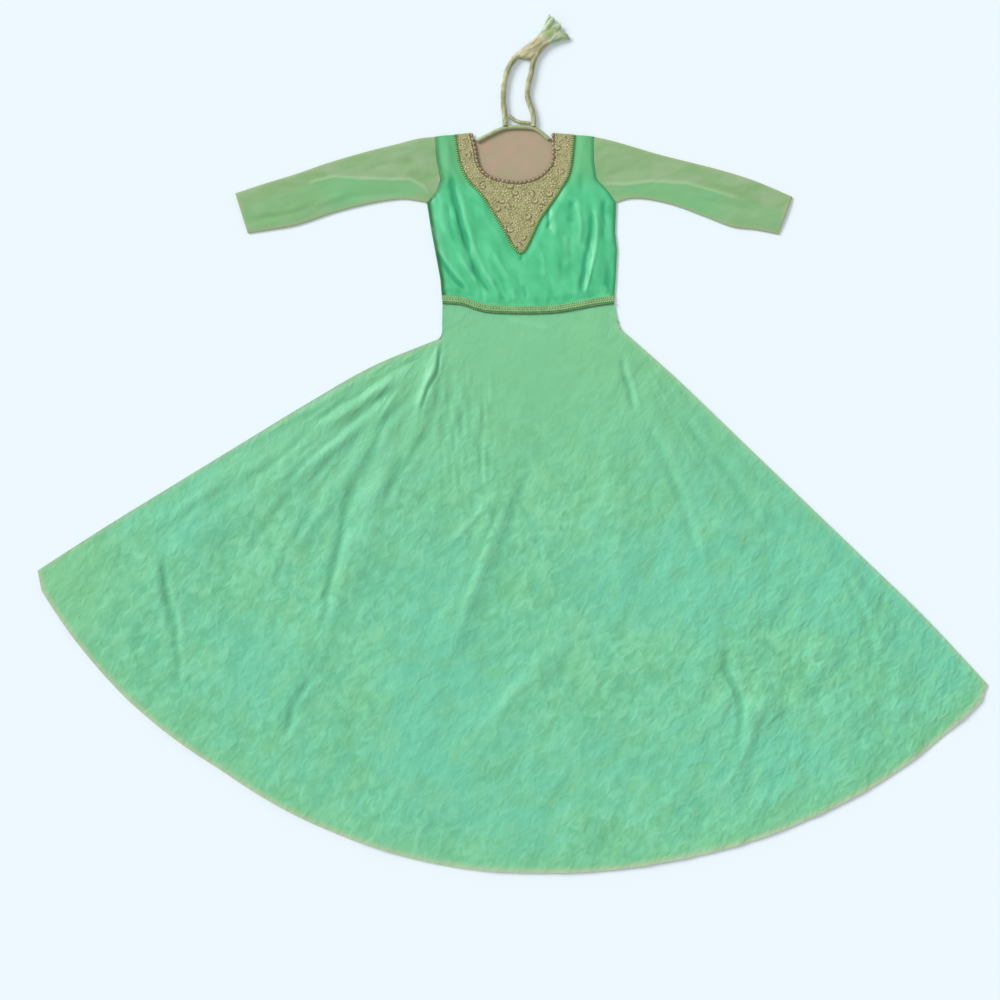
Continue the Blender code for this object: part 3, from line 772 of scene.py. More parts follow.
skirtSharp = inMetres((
    (((-188, 290), (-222, 272), (-258, 248)), 3.2, -4, 2),
    (((-200, 268), (-255, 236), (-310, 196)), 6.5, 2.4),
    (((-225, 236), (-300, 182), (-375, 118)), 6.5, -2.6, 1.2),
    (((-250, 252), (-330, 205), (-410, 150)), 5, -3, 1.6),
    (((-300, 240), (-380, 190), (-450, 150)), 5, -2.6, 1.4),
    (((-290, 160), (-370, 82), (-440, 0)), 7, -2.6, 1.2),
    (((-330, 150), (-420, 75), (-500, -5)), 5.5, -3, 1.8),
    (((-395, 150), (-480, 80), (-570, 20)), 5.5, -2.8, 1.6),
    (((-430, 30), (-500, -50), (-550, -130)), 6.5, -3, 1.8),
    (((-400, -10), (-455, -100), (-490, -190)), 6.5, -3, 1.8),
    (((-540, 60), (-620, 0), (-700, -60)), 6, -2.4, 1.4),
    (((-220, 100), (-250, 30), (-278, -30)), 9, -4, 1.6),
    (((-243, 160), (-285, 85), (-330, 10)), 12, 3.4),
    (((-151, 330), (-155, 282), (-165, 242), (-185, 196), (-193, 165)), 3.2, -4.8, 2.4),
    (((-165, 280), (-183, 220), (-205, 180)), 5.5, 3.5),
    (((-162, 225), (-170, 175)), 4, 2.5),
    (((-131, 262), (-127, 225), (-131, 190)), 6, -1.4, 1.2),
    (((-112, 205), (-110, 160), (-114, 110)), 5.5, -1.6, 1.4),
    (((-88, 245), (-91, 205), (-88, 170)), 6, -1.2, 1.2),
    (((-70, 180), (-68, 140), (-74, 92)), 5.5, -1.6, 1.4),
    (((-47, 200), (-52, 160)), 6, -1.2, 1),
    (((-42, 140), (-48, 95)), 5.5, -1.4, 1.2),
    (((-145, 168), (-150, 130), (-153, 85)), 5, -1.6, 1.4),
    (((-169, 46), (-154, 38), (-141, 56), (-150, 80)), 4.5, 1.8),
    (((-20, 365), (33, 350), (85, 341)), 5.5, 3),
    (((0, 330), (40, 322), (75, 318)), 5.5, 1.4),
    (((-179, 226), (-223, 198), (-265, 148), (-293, 80), (-329, 16), (-345, -36), (-359, -110),
      (-377, -190), (-389, -300)), 8, -5.2),
    (((-380, -290), (-355, -180), (-333, -90), (-310, -20), (-272, 60), (-238, 130),
      (-203, 176)), 10.5, 2.6),
    (((-157, 180), (-213, 72), (-267, 6)), 7, -2.8),
    (((-260, 0), (-205, 65), (-146, 170)), 7, 2.2),
    (((-190, 278), (-257, 238), (-330, 190)), 6, 2.2),
    (((-205, 256), (-280, 200), (-345, 145)), 6, -2.2),
    (((-711, -85), (-703, -150), (-691, -232), (-677, -308), (-677, -392)), 5.2, -8.5),
    (((-663, -380), (-662, -308), (-675, -230), (-688, -150)), 7.5, 3.4),
    (((-725, -110), (-716, -170), (-706, -240), (-694, -310)), 8, 2.2),
    (((-791, -76), (-797, -150)), 5, -2.6),
    (((-752, -60), (-748, -110)), 5, -2.2),
    (((-405, -345), (-441, -408), (-467, -486)), 7, -4.4),
    (((-452, -480), (-425, -405), (-392, -352)), 7, 2.2),
    (((-313, -350), (-337, -480)), 8, -1.8),
    (((-19, 30), (-89, -146), (-153, -330)), 8.5, -3),
    (((-135, -325), (-72, -140), (-8, 22)), 8, 2.6),
    (((-40, 26), (-89, -40), (-143, -102)), 4.8, 3.4),
    (((28, 80), (-15, -50), (-66, -180)), 9.5, -2.6),
    (((89, -270), (-20, -400), (-141, -535)), 8, 2.4),
    (((423, -265), (419, -334), (445, -400), (443, -520)), 6.5, -5.6),
    (((462, -500), (464, -400), (438, -330), (440, -270)), 7, 3),
    (((507, -360), (450, -520), (379, -600)), 6.5, 3),
    (((211, 300), (218, 240), (238, 170)), 5.5, -4.5),
    (((250, 170), (232, 240), (222, 292)), 5.5, 3.4),
    (((250, 170), (320, 20), (370, -150)), 8.5, -3.4),
    (((385, -150), (338, 20), (270, 165)), 8, 2.8),
    (((300, 190), (420, 50), (520, -100)), 8, -2.8),
    (((640, -120), (690, -230), (715, -350)), 7, -3),
    (((730, -350), (706, -230), (655, -120)), 7, 2.4),
))


def skirtHeight(x, y):
    borders = [alongChain(row, x, y)[0] for row in (skirtLeft, skirtRight, waistSeam)]
    edge = np.minimum.reduce([abs(border) for border in borders])
    broad = skirtLook["loft"] + sum(creaseHeight(x, y, crease) for crease in skirtBroad)
    broad = broad + 0.0016 * softNoise(x, y, 0.110, 3, math.radians(60.0), 1.6)
    sharp = skirtLook["creaseDepth"] * skirtCreases(x, y)
    turn = skirtLook["crinkleTurn"]
    crinkle = 0.0003 * softNoise(x, y, 0.014, 1, turn, 1.9) + 0.0011 * softNoise(x, y, 0.030, 2, turn, 1.7)
    fine = crushedShare(x, y) * crinkle + fanFolds(x, y)
    height = smoothStep(edge / 0.060) * broad + smoothStep(edge / 0.012) * (sharp + fine)
    for side in ("left", "right"):
        off, share = alongChain(seamLine(side), x, y)
        pucker = 0.0002 * np.sin(share * 260.0) * np.exp(-(off / 0.010) ** 2)
        height += smoothStep(edge / 0.020) * pucker
    height = 0.5 * (height + np.sqrt(height ** 2 + 0.0008 ** 2))
    return nodeTop("skirt_back_center") + frontClear + height


def fanFolds(x, y):
    # fine folds that spread from both ends of the waist, and upright ones beside the left seam
    total = np.zeros(x.shape)
    for seed, middle, first, last in (
            (31, skirtLook["leftFan"], -95.0, -20.0), (33, skirtLook["rightFan"], 18.0, 70.0)):
        offX, offY = x - middle[0], middle[1] - y
        away, angle = np.hypot(offX, offY), np.arctan2(offX, offY)
        degrees = np.degrees(angle)
        inside = smoothStep((degrees - first) / 12.0) * smoothStep((last - degrees) / 14.0)
        spread = inside * smoothStep(away / 0.10) * smoothStep((0.62 - away) / 0.30)
        total = total + 0.0008 * spread * softNoise(away, angle * 0.26, 0.0085, seed, 0.0, 11.0)
        total = total + 0.0008 * spread * softNoise(away, angle * 0.26, 0.0180, seed + 1, 0.0, 8.0)
    upright = smoothStep((x + 0.165) / 0.02) * smoothStep((-0.015 - x) / 0.05)
    upright = upright * smoothStep((0.275 - y) / 0.05) * smoothStep((y + 0.06) / 0.10)
    return total + 0.0010 * upright * softNoise(x, y, 0.0085, 35, math.radians(92.0), 5.0)


def skirtCreases(x, y):
    bentX, bentY = warped(x, y, 0.0030)
    lumpy = 0.92 + 0.30 * softNoise(x, y, 0.024, 23)
    spread = skirtLook["creaseSpread"]
    return lumpy * sum(creaseHeight(bentX, bentY, crease, spread) for crease in skirtSharp)


def crushedShare(x, y):
    # how crushed the satin is: nearly smooth in the middle under the waist, most to the lower right
    away = np.hypot((x - 0.040) / 0.150, (y - 0.330) / 0.230)
    lowRight = smoothStep((x - 0.15) / 0.40) * smoothStep((0.02 - y) / 0.30)
    return 0.30 + 0.70 * smoothStep((away - 0.55) / 0.9) + 0.65 * lowRight


def setCreaseShades(piece, creases, full):
    # painted shade and highlight: how deep each point lies in a crease, and how high on a ridge, to darken
    # the satin in the creases and lighten it on the ridges
    points = getPoints(piece.data)
    relief = creases(points[:, 0], points[:, 1])
    setAttribute(piece.data, "paintedCreaseShade", smoothStep(-relief / full))
    setAttribute(piece.data, "ridge", smoothStep(relief / full))


def skirtEdges(panel):
    leftStart, leftEnd = seamLine("left")
    rightStart, rightEnd = seamLine("right")
    if panel == "center":
        return (smoothCurve(waistSeam), hemCurve(seamAngle["left"], seamAngle["right"]),
                straightCurve((leftStart, leftEnd)), straightCurve((rightStart, rightEnd)))
    if panel == "left":
        start = leftStart + (leftEnd - leftStart) * seamStart["left"]
        return (straightCurve((skirtLeft[0], start)), hemCurve(hemReach[0][0], seamAngle["left"]),
                smoothCurve(skirtLeft), straightCurve((start, leftEnd)))
    start = rightStart + (rightEnd - rightStart) * seamStart["right"]
    return (straightCurve((start, skirtRight[0])), hemCurve(seamAngle["right"], hemReach[-1][0]),
            straightCurve((start, rightEnd)), smoothCurve(skirtRight))


def flatHeight(height):
    return lambda x, y: np.full(x.shape, height)


def setSkirtShades(piece):
    # where the satin is paler, cooler, more crushed, or beige along the hem and the side edges
    x, y = getPoints(piece.data).T[:2]
    angles, reaches = zip(*hemReach)
    offX, offY = x - waistMiddle[0], y - waistMiddle[1]
    toHem = np.interp(np.degrees(np.arctan2(offX, -offY)), angles, reaches) - np.hypot(offX, offY)
    border = np.minimum(*(abs(alongChain(row, x, y)[0]) for row in (skirtLeft, skirtRight)))
    fromCorner = np.hypot(x - skirtLeft[-1][0], y - skirtLeft[-1][1])
    olive = np.maximum(0.75 * smoothStep((y + 0.12) / 0.42), 0.80 * smoothStep((0.26 - fromCorner) / 0.22))
    cool = 0.5 + 0.7 * softNoise(x, y, 0.170, 12) + 0.25 * softNoise(x, y, 0.060, 13)
    cool = np.clip(cool, 0.0, 1.0) * smoothStep((fromCorner - 0.10) / 0.25) * smoothStep(toHem / 0.10)
    hem = np.maximum(0.75 * smoothStep(1.0 - toHem / 0.015), 0.40 * smoothStep(1.0 - border / 0.012))
    upper = np.maximum(olive, 0.45 * smoothStep(1.0 - toHem / 0.060))
    for name, values in (("hemBand", hem), ("upper", upper), ("crushed", crushedShare(x, y)), ("cool", cool)):
        setAttribute(piece.data, name, values)


def makeSkirt():
    print("skirt")
    satin = skirtSatin()
    for panel in ("left", "center", "right"):
        edges = skirtEdges(panel)
        back = clothSheet(f"skirtBack_{panel}", edges, (60, 60), flatHeight(nodeTop(f"skirt_back_{panel}")),
                          satin, clothWall["back"])[0]
        front = clothSheet(f"skirtFront_{panel}", edges, skirtLook["grids"][panel], skirtHeight, satin,
                           clothWall["front"])[0]
        for piece, restsOn in ((back, []), (front, [back])):
            setSkirtShades(piece)
            declareLaid(piece, restsOn)
        setCreaseShades(front, skirtCreases, 0.0050)
        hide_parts(f"skirt_front_{panel}")
        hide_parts(f"skirt_back_{panel}")


# Bodice

bodiceCreases = inMetres((
    (((-131, 662), (-128, 632), (-116, 572), (-105, 532), (-86, 490)), 5.4, -7.6),
    (((-80, 505), (-94, 540), (-106, 590), (-116, 630)), 5.5, 3.6),
    (((-98, 552), (-81, 492), (-59, 452), (-40, 425)), 5, 3),
    (((-108, 530), (-92, 480), (-70, 440)), 5, -2.8),
    (((-163, 550), (-145, 492), (-113, 438), (-88, 404)), 6.2, 4),
    (((-163, 498), (-138, 464), (-118, 438), (-93, 410)), 4.6, -8.5),
    (((-172, 560), (-160, 512), (-140, 480), (-122, 462)), 5, 3.6),
    (((-140, 600), (-132, 550), (-118, 500)), 4.6, -2.8),
    (((-120, 500), (-98, 462), (-72, 425)), 4.6, 3.4),
    (((-90, 470), (-66, 434), (-46, 406)), 4.6, -3.4),
    (((-72, 470), (-50, 440), (-30, 400)), 4, 2.6),
    (((-10, 425), (-3, 396)), 4, 3),
    (((14, 432), (20, 398)), 4, -2.2),
    (((50, 500), (56, 440)), 5, 2.2),
    (((172, 610), (174, 560), (170, 510)), 4.6, -3.4),
    (((120, 610), (128, 560), (124, 500)), 4.6, 2.6),
    (((-150, 610), (-148, 560), (-138, 520)), 6, 2.6),
    (((-47, 500), (-21, 452), (-3, 434)), 4.5, 2.4),
    (((-56, 486), (-32, 446), (-14, 424)), 5, -1.8),
    (((-47, 444), (-21, 392)), 4.2, -2.6),
    (((147, 592), (149, 532), (137, 478), (124, 400)), 5.2, -5.8),
    (((134, 400), (150, 466), (160, 520), (158, 595)), 3.2, 5.6),
    (((75, 580), (77, 520)), 5.5, 2.2),
    (((99, 535), (101, 455)), 5.5, 2.4),
    (((109, 604), (107, 545)), 8.5, -2.6),
    (((62, 596), (64, 566), (62, 536)), 3.8, -5),
    (((118, 560), (112, 460)), 6, 1.8),
    (((88, 500), (86, 410)), 6, -1.6),
    (((181, 490), (181, 415)), 7, -3),
    (((186, 580), (188, 500)), 6, 2.2),
    (((-159, 728), (-157, 690), (-151, 640)), 3, -1.2),
    (((-139, 724), (-138, 690), (-136, 650)), 5, 1.4),
    (((151, 726), (151, 680), (154, 632)), 2.6, 1.6),
    (((130, 660), (126, 600)), 6, -1.8),
    (((-10, 470), (30, 450), (62, 462)), 6, 1.2),
    (((8, 498), (9, 474)), 3.5, -4),
    (((50, 540), (82, 590), (104, 640)), 7, 1.8),
    (((-76, 590), (-44, 540), (-12, 492)), 7, 1.8),
))
bodiceBroad = inMetres((
    (((-130, 600), (-118, 520), (-90, 440)), 16, 3),
    (((-62, 520), (-30, 460), (15, 410)), 14, 2.2),
    (((78, 560), (80, 500), (82, 430)), 15, 2.8),
    (((158, 610), (165, 520), (150, 420)), 13, 3),
))


def bodiceFolds(x, y):
    bentX, bentY = warped(x, y, 0.0015)
    lumpy = 0.90 + 0.40 * softNoise(x, y, 0.018, 24)
    spread = bodiceLook["creaseSpread"]
    return lumpy * sum(creaseHeight(bentX, bentY, crease, spread) for crease in bodiceCreases)


def fromSides(x, y):
    # distances in from the bodice's left and right edges
    left, right = (np.interp(y, *zip(*sorted((row[1], row[0]) for row in side)))
                   for side in (bodiceLeft, bodiceRight))
    return x - left, right - x


def bodiceHeight(x, y):
    left, right = fromSides(x, y)
    waist = y - np.interp(x, *zip(*waistSeam)) - 0.019
    outline = yokeOutline()
    apart = abs(alongChain([*outline, outline[0]], x, y)[0])
    yoke = np.where(insideShape(outline, x, y) | insideShape(neckOutline(), x, y), 0.0, apart)
    edge = np.maximum(np.minimum.reduce([left, right, waist]), 0.0)
    broad = bodiceLook["loft"] + sum(creaseHeight(x, y, crease) for crease in bodiceBroad)
    sharp = bodiceLook["creaseDepth"] * bodiceFolds(x, y)
    soft = 0.0007 * softNoise(x, y, 0.016, 5, math.radians(-78.0), 2.6)
    gathers = 0.0009 * softNoise(x, y, 0.0075, 6, math.radians(90.0), 7.0) * smoothStep(1.0 - waist / 0.035)
    mask = smoothStep(edge / 0.016) * smoothStep((yoke - 0.003) / 0.016)
    closeMask = smoothStep(edge / 0.006) * smoothStep((yoke - 0.002) / 0.006)
    height = mask * broad + closeMask * (sharp + soft + gathers)
    height = 0.5 * (height + np.sqrt(height ** 2 + 0.0006 ** 2))
    return nodeTop("bodice_back") + frontClear + height


def yokeOutline():
    inner = smoothCurve(neckline)(np.linspace(0.0, 1.0, 40))
    outer = smoothCurve(yokeEdge)(np.linspace(1.0, 0.0, 60))
    return np.vstack([inner, outer]).tolist()


def neckOutline():
    return smoothCurve(neckline)(np.linspace(0.0, 1.0, 40)).tolist()


def throughShoulders(points):
    # straight along both shoulders, with the smooth curve of the neck between
    inner, ends = smoothCurve(points[1:-1]), straightCurve(points)
    count = len(points) - 1

    def place(share):
        step = share * count
        curved = inner((step - 1) / (count - 2))
        straight = ends(share)
        return np.where(((step <= 1) | (step >= count - 1))[:, None], straight, curved)
    return place


def makeBodice():
    print("bodice")
    satin = bodiceSatin()
    shoulders = throughShoulders((bodiceLeft[0], *neckline, bodiceRight[0]))
    edges = (shoulders, smoothCurve(waistSeam), straightCurve(bodiceLeft), straightCurve(bodiceRight))
    front = clothSheet("bodiceFront", edges, (192, 182), bodiceHeight, satin, clothWall["front"])[0]
    setCreaseShades(front, bodiceFolds, 0.0036)
    x, y = getPoints(front.data).T[:2]
    toLeft, toRight = fromSides(x, y)
    # the edge layer is painted shadow: a dark band just inside both side seams, weaker high on the left
    leftSeamShadow = np.exp(-((toLeft - 0.0035) / 0.0055) ** 2) * (1.0 - 0.45 * smoothStep((y - 0.59) / 0.03))
    rightSeamShadow = 0.70 * np.exp(-((toRight - 0.0015) / 0.0045) ** 2)
    setAttribute(front.data, "edge", np.maximum(leftSeamShadow, rightSeamShadow))
    setAttribute(front.data, "strap", 0.75 * smoothStep((y - 0.610) / 0.060))

    leftLow, rightLow = bodiceLeft[backYokeRows - 1:], bodiceRight[backYokeRows - 1:]
    seam = straightCurve((leftLow[0], rightLow[0]))
    edges = (seam, smoothCurve(waistSeam), straightCurve(leftLow), straightCurve(rightLow))
    back = clothSheet("bodiceBack", edges, (60, 40), flatHeight(nodeTop("bodice_back")), satin,
                      clothWall["back"])[0]

    edges = (throughShoulders(backNeck), seam,
             straightCurve(bodiceLeft[:backYokeRows]), straightCurve(bodiceRight[:backYokeRows]))
    net = clothSheet("backYoke", edges, (120, 50), flatHeight(nodeTop("back_yoke")), nudeNet(),
                     clothWall["net"])[0]
    for piece, node, slot, restsOn in (
            (back, "bodice_back", "bodice_satin", []), (front, "bodice_front", "bodice_satin", [back]),
            (net, "back_yoke", "nude_net", [])):
        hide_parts(node)
        declareLaid(piece, restsOn)
    return front, net


backNetLook = {
    "shades": ((0.34, (0.400, 0.345, 0.225)), (0.52, (0.425, 0.340, 0.230)), (0.72, (0.475, 0.335, 0.255))),
    "roughness": 0.8,
}


def nudeNet():
    shader = Shader("nudeNet")
    broad = shader.noise(shader.place(), 30.0, 3.0, 0.55)
    return shader.finish({
        "Base Color": shader.ramp(broad, backNetLook["shades"]), "Roughness": backNetLook["roughness"],
        "Specular IOR Level": 0.2,
        "Normal": shader.bump(shader.threads() * 0.6 + broad * 1.5, 0.35, 0.001)})


# Neck yoke with its embroidery

yokeLook = {
    "motifEvery": 0.0172,
    "motifSize": 1.30,
    "jitter": 0.0022,
    "seed": 4,
    "ground": ((0.320, 0.300, 0.135), (0.420, 0.400, 0.195)),
    # dark and light shade of each thread, in the order of the material slots
    "threads": {
        "pale": ((0.420, 0.400, 0.190), (0.475, 0.435, 0.240)),
        "leaf": ((0.290, 0.310, 0.120), (0.420, 0.400, 0.190)),
        "dark": ((0.120, 0.080, 0.034), (0.225, 0.160, 0.070)),
        "edge": ((0.150, 0.290, 0.085), (0.240, 0.400, 0.130)),
        "scallop": ((0.220, 0.165, 0.090), (0.380, 0.300, 0.180)),
    },
}


def threadMaterial(name, dark, light, metallic=0.15):
    shader = Shader(name)
    strands = shader.noise(shader.place(math.radians(35.0), (0.4, 1.0, 1.0)), 420.0, 3.0, 0.6)
    patches = shader.noise(shader.place(), 75.0, 2.0)
    color = shader.ramp(strands * 0.5 + patches * 0.5, ((0.38, dark), (0.62, light)))
    return shader.finish({
        "Base Color": color, "Roughness": 0.45, "Metallic": metallic,
        "Normal": shader.bump(strands, 0.35, 0.0008)})


def makeYoke(bodiceFront):
    print("yoke embroidery")
    look = yokeLook
    ground = threadMaterial("yokeGround", *look["ground"], 0.0)
    edges = (smoothCurve(neckline), smoothCurve(yokeEdge),
             straightCurve((neckline[0], yokeEdge[0])), straightCurve((neckline[-1], yokeEdge[-1])))
    top = nodeTop("neck_yoke")
    yoke = clothSheet("neckYoke", edges, (150, 30), flatHeight(top), ground, clothWall["yoke"])[0]
    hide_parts("neck_yoke")

    stitch = stitchShape()
    rng = random.Random(look["seed"])
    outline = yokeOutline()
    low, high = np.min(outline, axis=0), np.max(outline, axis=0)
    step, jitter = look["motifEvery"], look["jitter"]
    stitched = {"pale": [], "leaf": [], "dark": []}
    row, y = 0, low[1]
    while y < high[1]:
        x = low[0] + (step / 2 if row % 2 else 0.0)
        while x < high[0]:
            middle = x + rng.uniform(-jitter, jitter), y + rng.uniform(-jitter, jitter)
            addMotif(rng.choice(("flower", "paisley", "spray")), middle, top, rng, outline, stitched)
            x += step
        y += step * 0.87
        row += 1
    bm = bmesh.new()
    for slot, thread in enumerate(("pale", "leaf", "dark")):
        scatter(bm, stitch, stitched[thread], slot)
    addEdgeBeads(bm, stitch, top)
    stitches = newPiece("yokeStitches", bm, [
        threadMaterial(f"{thread}Thread", *shades) for thread, shades in look["threads"].items()])
    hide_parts("neckline_binding")
    declareLaid(yoke, [bodiceFront])


def motifStitches(kind):
    # each stitch: thread, place along and across, its own turn, and its size
    if kind == "flower":
        for number in range(5):
            turn = number * 2 * math.pi / 5
            yield "pale", 0.0031 * math.cos(turn), 0.0031 * math.sin(turn), turn, (0.0030, 0.0020, 0.0008)
            turn += math.pi / 5
            yield "leaf", 0.0062 * math.cos(turn), 0.0062 * math.sin(turn), turn, (0.0016, 0.0010, 0.0006)
        yield "dark", 0.0, 0.0, 0.0, (0.0012, 0.0012, 0.0009)
    elif kind == "paisley":
        for number in range(10):
            turn = number * 0.50
            reach = 0.0064 - 0.00042 * number
            yield ("dark", reach * math.cos(turn), reach * math.sin(turn), turn + math.pi / 2,
                   (0.0015, 0.0008, 0.0007))
        for number in range(5):
            turn = 0.4 + number * 0.75
            yield ("pale", 0.0030 * math.cos(turn), 0.0030 * math.sin(turn), turn + 0.5,
                   (0.0026, 0.0015, 0.0008))
    else:
        for number in range(6):
            along = -0.0060 + 0.0024 * number
            side = 1 if number % 2 else -1
            yield "leaf", along, 0.0008 * math.sin(number), 0.2, (0.0015, 0.0007, 0.0007)
            yield "pale", along, 0.0024 * side, 0.8 * side, (0.0022, 0.0012, 0.0008)
        yield "dark", 0.0072, 0.0006, 0.0, (0.0010, 0.0010, 0.0008)


def addMotif(kind, middle, z, rng, outline, stitched):
    turn, size = rng.uniform(0.0, 2 * math.pi), yokeLook["motifSize"] * rng.uniform(0.85, 1.15)
    rows = list(motifStitches(kind))
    along, across = np.array([row[1] for row in rows]) * size, np.array([row[2] for row in rows]) * size
    x = middle[0] + along * math.cos(turn) - across * math.sin(turn)
    y = middle[1] + along * math.sin(turn) + across * math.cos(turn)
    inside = insideShape(outline, x, y) & (abs(alongChain([*outline, outline[0]], x, y)[0]) > 0.0034)
    for (thread, _, _, own, shape), px, py, kept in zip(rows, x, y, inside):
        if kept:
            stitched[thread].append(placed(px, py, z, turn + own, [value * size for value in shape]))


def addEdgeBeads(bm, stitch, top):
    # pale scallops, dark beads and a gold row along the neckline, and a green-gold cord along the V
    rows = (
        (neckline, 0.0088, 0.0034, 0.0006, 4), (neckline, 0.0044, 0.0010, -0.0030, 2),
        (neckline, 0.0050, 0.0016, -0.0056, 0), (yokeEdge, 0.0044, 0.0040, 0.0006, 3),
    )
    for points, spacing, radius, shift, slot in rows:
        places, turns = evenPlaces(smoothCurve(points), spacing)
        matrices = []
        for (x, y), turn in zip(places, turns):
            x, y = x - shift * math.sin(turn), y + shift * math.cos(turn)
            size = (spacing * 0.55, radius, radius * 0.5)
            matrices.append(placed(x, y, top + 0.0002, turn, size))
        scatter(bm, stitch, matrices, slot)


# Waist trim, piping and the back neck's binding

trimLook = {
    "low": 0.0046,
    "high": 0.0166,
    "band": ((0.190, 0.400, 0.160), (0.270, 0.530, 0.245)),
    "thread": ((0.220, 0.420, 0.165), (0.320, 0.550, 0.250)),
    "heart": ((0.190, 0.370, 0.130), (0.290, 0.480, 0.205)),
    # rows of stitches: height above the seam, spacing, size, slot
    "rows": ((0.0064, 0.0042, (0.0022, 0.0015, 0.0010), 0), (0.0106, 0.0056, (0.0024, 0.0019, 0.0012), 1),
             (0.0148, 0.0042, (0.0022, 0.0015, 0.0010), 0)),
    "piping": ((0.070, 0.185, 0.055), (0.115, 0.270, 0.090)),
    "pipingRadius": 0.0020,
    "binding": ((0.290, 0.370, 0.170), (0.440, 0.480, 0.270)),
    "bindingRadius": 0.0040,
}


def makeTrims():
    print("trims")
    look = trimLook
    waist = smoothCurve(waistSeam)
    low, high = np.array((0.0, look["low"])), np.array((0.0, look["high"]))
    start, end = np.zeros(1), np.ones(1)
    edges = (lambda u: waist(u) + high, lambda u: waist(u) + low,
             straightCurve((waist(start)[0] + high, waist(start)[0] + low)),
             straightCurve((waist(end)[0] + high, waist(end)[0] + low)))
    top = nodeTop("waist_trim")
    gold = threadMaterial("trimGold", *look["band"])
    band = clothSheet("waistTrim", edges, (240, 8), flatHeight(top), gold, clothWall["trim"])[0]
    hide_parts("waist_trim")
    stitch = stitchShape()
    bm = bmesh.new()
    for shift, spacing, size, slot in look["rows"]:
        places, turns = evenPlaces(waist, spacing)
        matrices = [placed(x, y + shift, top, turn + (0.5 if number % 2 else -0.5), size)
                    for number, ((x, y), turn) in enumerate(zip(places, turns))]
        scatter(bm, stitch, matrices, slot)
    stitches = newPiece("trimStitches", bm, [
        threadMaterial("trimThread", *look["thread"]), threadMaterial("trimHeart", *look["heart"])])
    declareLaid(band, [])

    makeEdging("waistPiping", [(x, y + 0.002) for x, y in waistSeam], look["pipingRadius"],
               nodeTop("waist_piping") - look["pipingRadius"], "waist_piping", look["piping"])
    makeEdging("backNeckBinding", [(x, y - 0.0022) for x, y in backNeck[2:-2]], look["bindingRadius"],
               nodeTop("back_neck_binding") - 0.0030, "back_neck_binding", look["binding"])


def makeEdging(name, points, radius, height, node, shades):
    # a rolled edge: a round cord of cloth whose folds wind along it
    places = smoothCurve(points)(np.linspace(0.0, 1.0, 180))
    swells = [1.0 + 0.10 * math.sin(number * 2.1) for number in range(len(places))]
    piece = roundCord(name, places, radius, height, swells, 4, threadMaterial(name, *shades, 0.0))
    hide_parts(node)


# Sleeves

sleeveLook = {
    "grid": (104, 130),
    "armholeHeight": 0.0042,
    "around": 0.270,
    "length": {"left": 0.430, "right": 0.415},
    "roll": 0.0014,
    "shades": ((0.34, (0.225, 0.410, 0.175)), (0.50, (0.260, 0.430, 0.210)), (0.66, (0.300, 0.455, 0.245))),
    "tints": (("double", 0.75, (0.170, 0.500, 0.215)), ("roll", 0.55, (0.400, 0.610, 0.340)),
              ("border", 0.45, (0.420, 0.430, 0.245))),
}
# Cross-lines from the armhole to the cuff: upper edge, lower edge, height, share of the armhole's bow
sleeveLines = {
    "left": (
        ((-0.197, 0.722), (-0.206, 0.599), 0.0052, 0.55), ((-0.240, 0.711), (-0.234, 0.601), 0.0058, 0.15),
        ((-0.300, 0.696), (-0.290, 0.593), 0.0060, 0.0), ((-0.379, 0.673), (-0.362, 0.575), 0.0058, 0.0),
        ((-0.439, 0.652), (-0.437, 0.550), 0.0060, 0.0), ((-0.501, 0.633), (-0.491, 0.540), 0.0056, 0.0),
        ((-0.562, 0.613), (-0.537, 0.533), 0.0050, 0.0),
    ),
    "right": (
        ((0.190, 0.718), (0.226, 0.602), 0.0052, 0.55), ((0.232, 0.706), (0.262, 0.601), 0.0058, 0.15),
        ((0.286, 0.690), (0.315, 0.589), 0.0060, 0.0), ((0.350, 0.674), (0.377, 0.566), 0.0058, 0.0),
        ((0.412, 0.658), (0.430, 0.546), 0.0060, 0.0), ((0.478, 0.637), (0.478, 0.540), 0.0056, 0.0),
        ((0.551, 0.606), (0.523, 0.531), 0.0050, 0.0),
    ),
}
# The rolled edge of the doubled net under each arm
rolledEdges = {
    "left": ((-0.420, 0.630), (-0.397, 0.638), (-0.363, 0.646), (-0.317, 0.642), (-0.257, 0.640),
             (-0.211, 0.640), (-0.185, 0.626), (-0.171, 0.606)),
    "right": ((0.165, 0.632), (0.219, 0.630), (0.273, 0.636), (0.340, 0.632), (0.400, 0.616), (0.450, 0.600)),
}
sleeveCreases = {
    "left": inMetres((
        (((-470, 575), (-400, 590), (-330, 615)), 7, 1.4),
        (((-530, 560), (-460, 570), (-380, 600)), 6, -1.6),
        (((-300, 665), (-240, 672), (-180, 680)), 9, -1.4),
        (((-230, 655), (-190, 660), (-168, 650)), 6, 1.4),
        (((-360, 600), (-290, 608), (-220, 615)), 7, -1.4),
    )),
    "right": inMetres((
        (((180, 650), (240, 660), (300, 655)), 8, -1.4),
        (((350, 600), (420, 590), (490, 570)), 7, -1.5),
        (((380, 640), (440, 620), (500, 590)), 7, 1.3),
    )),
}


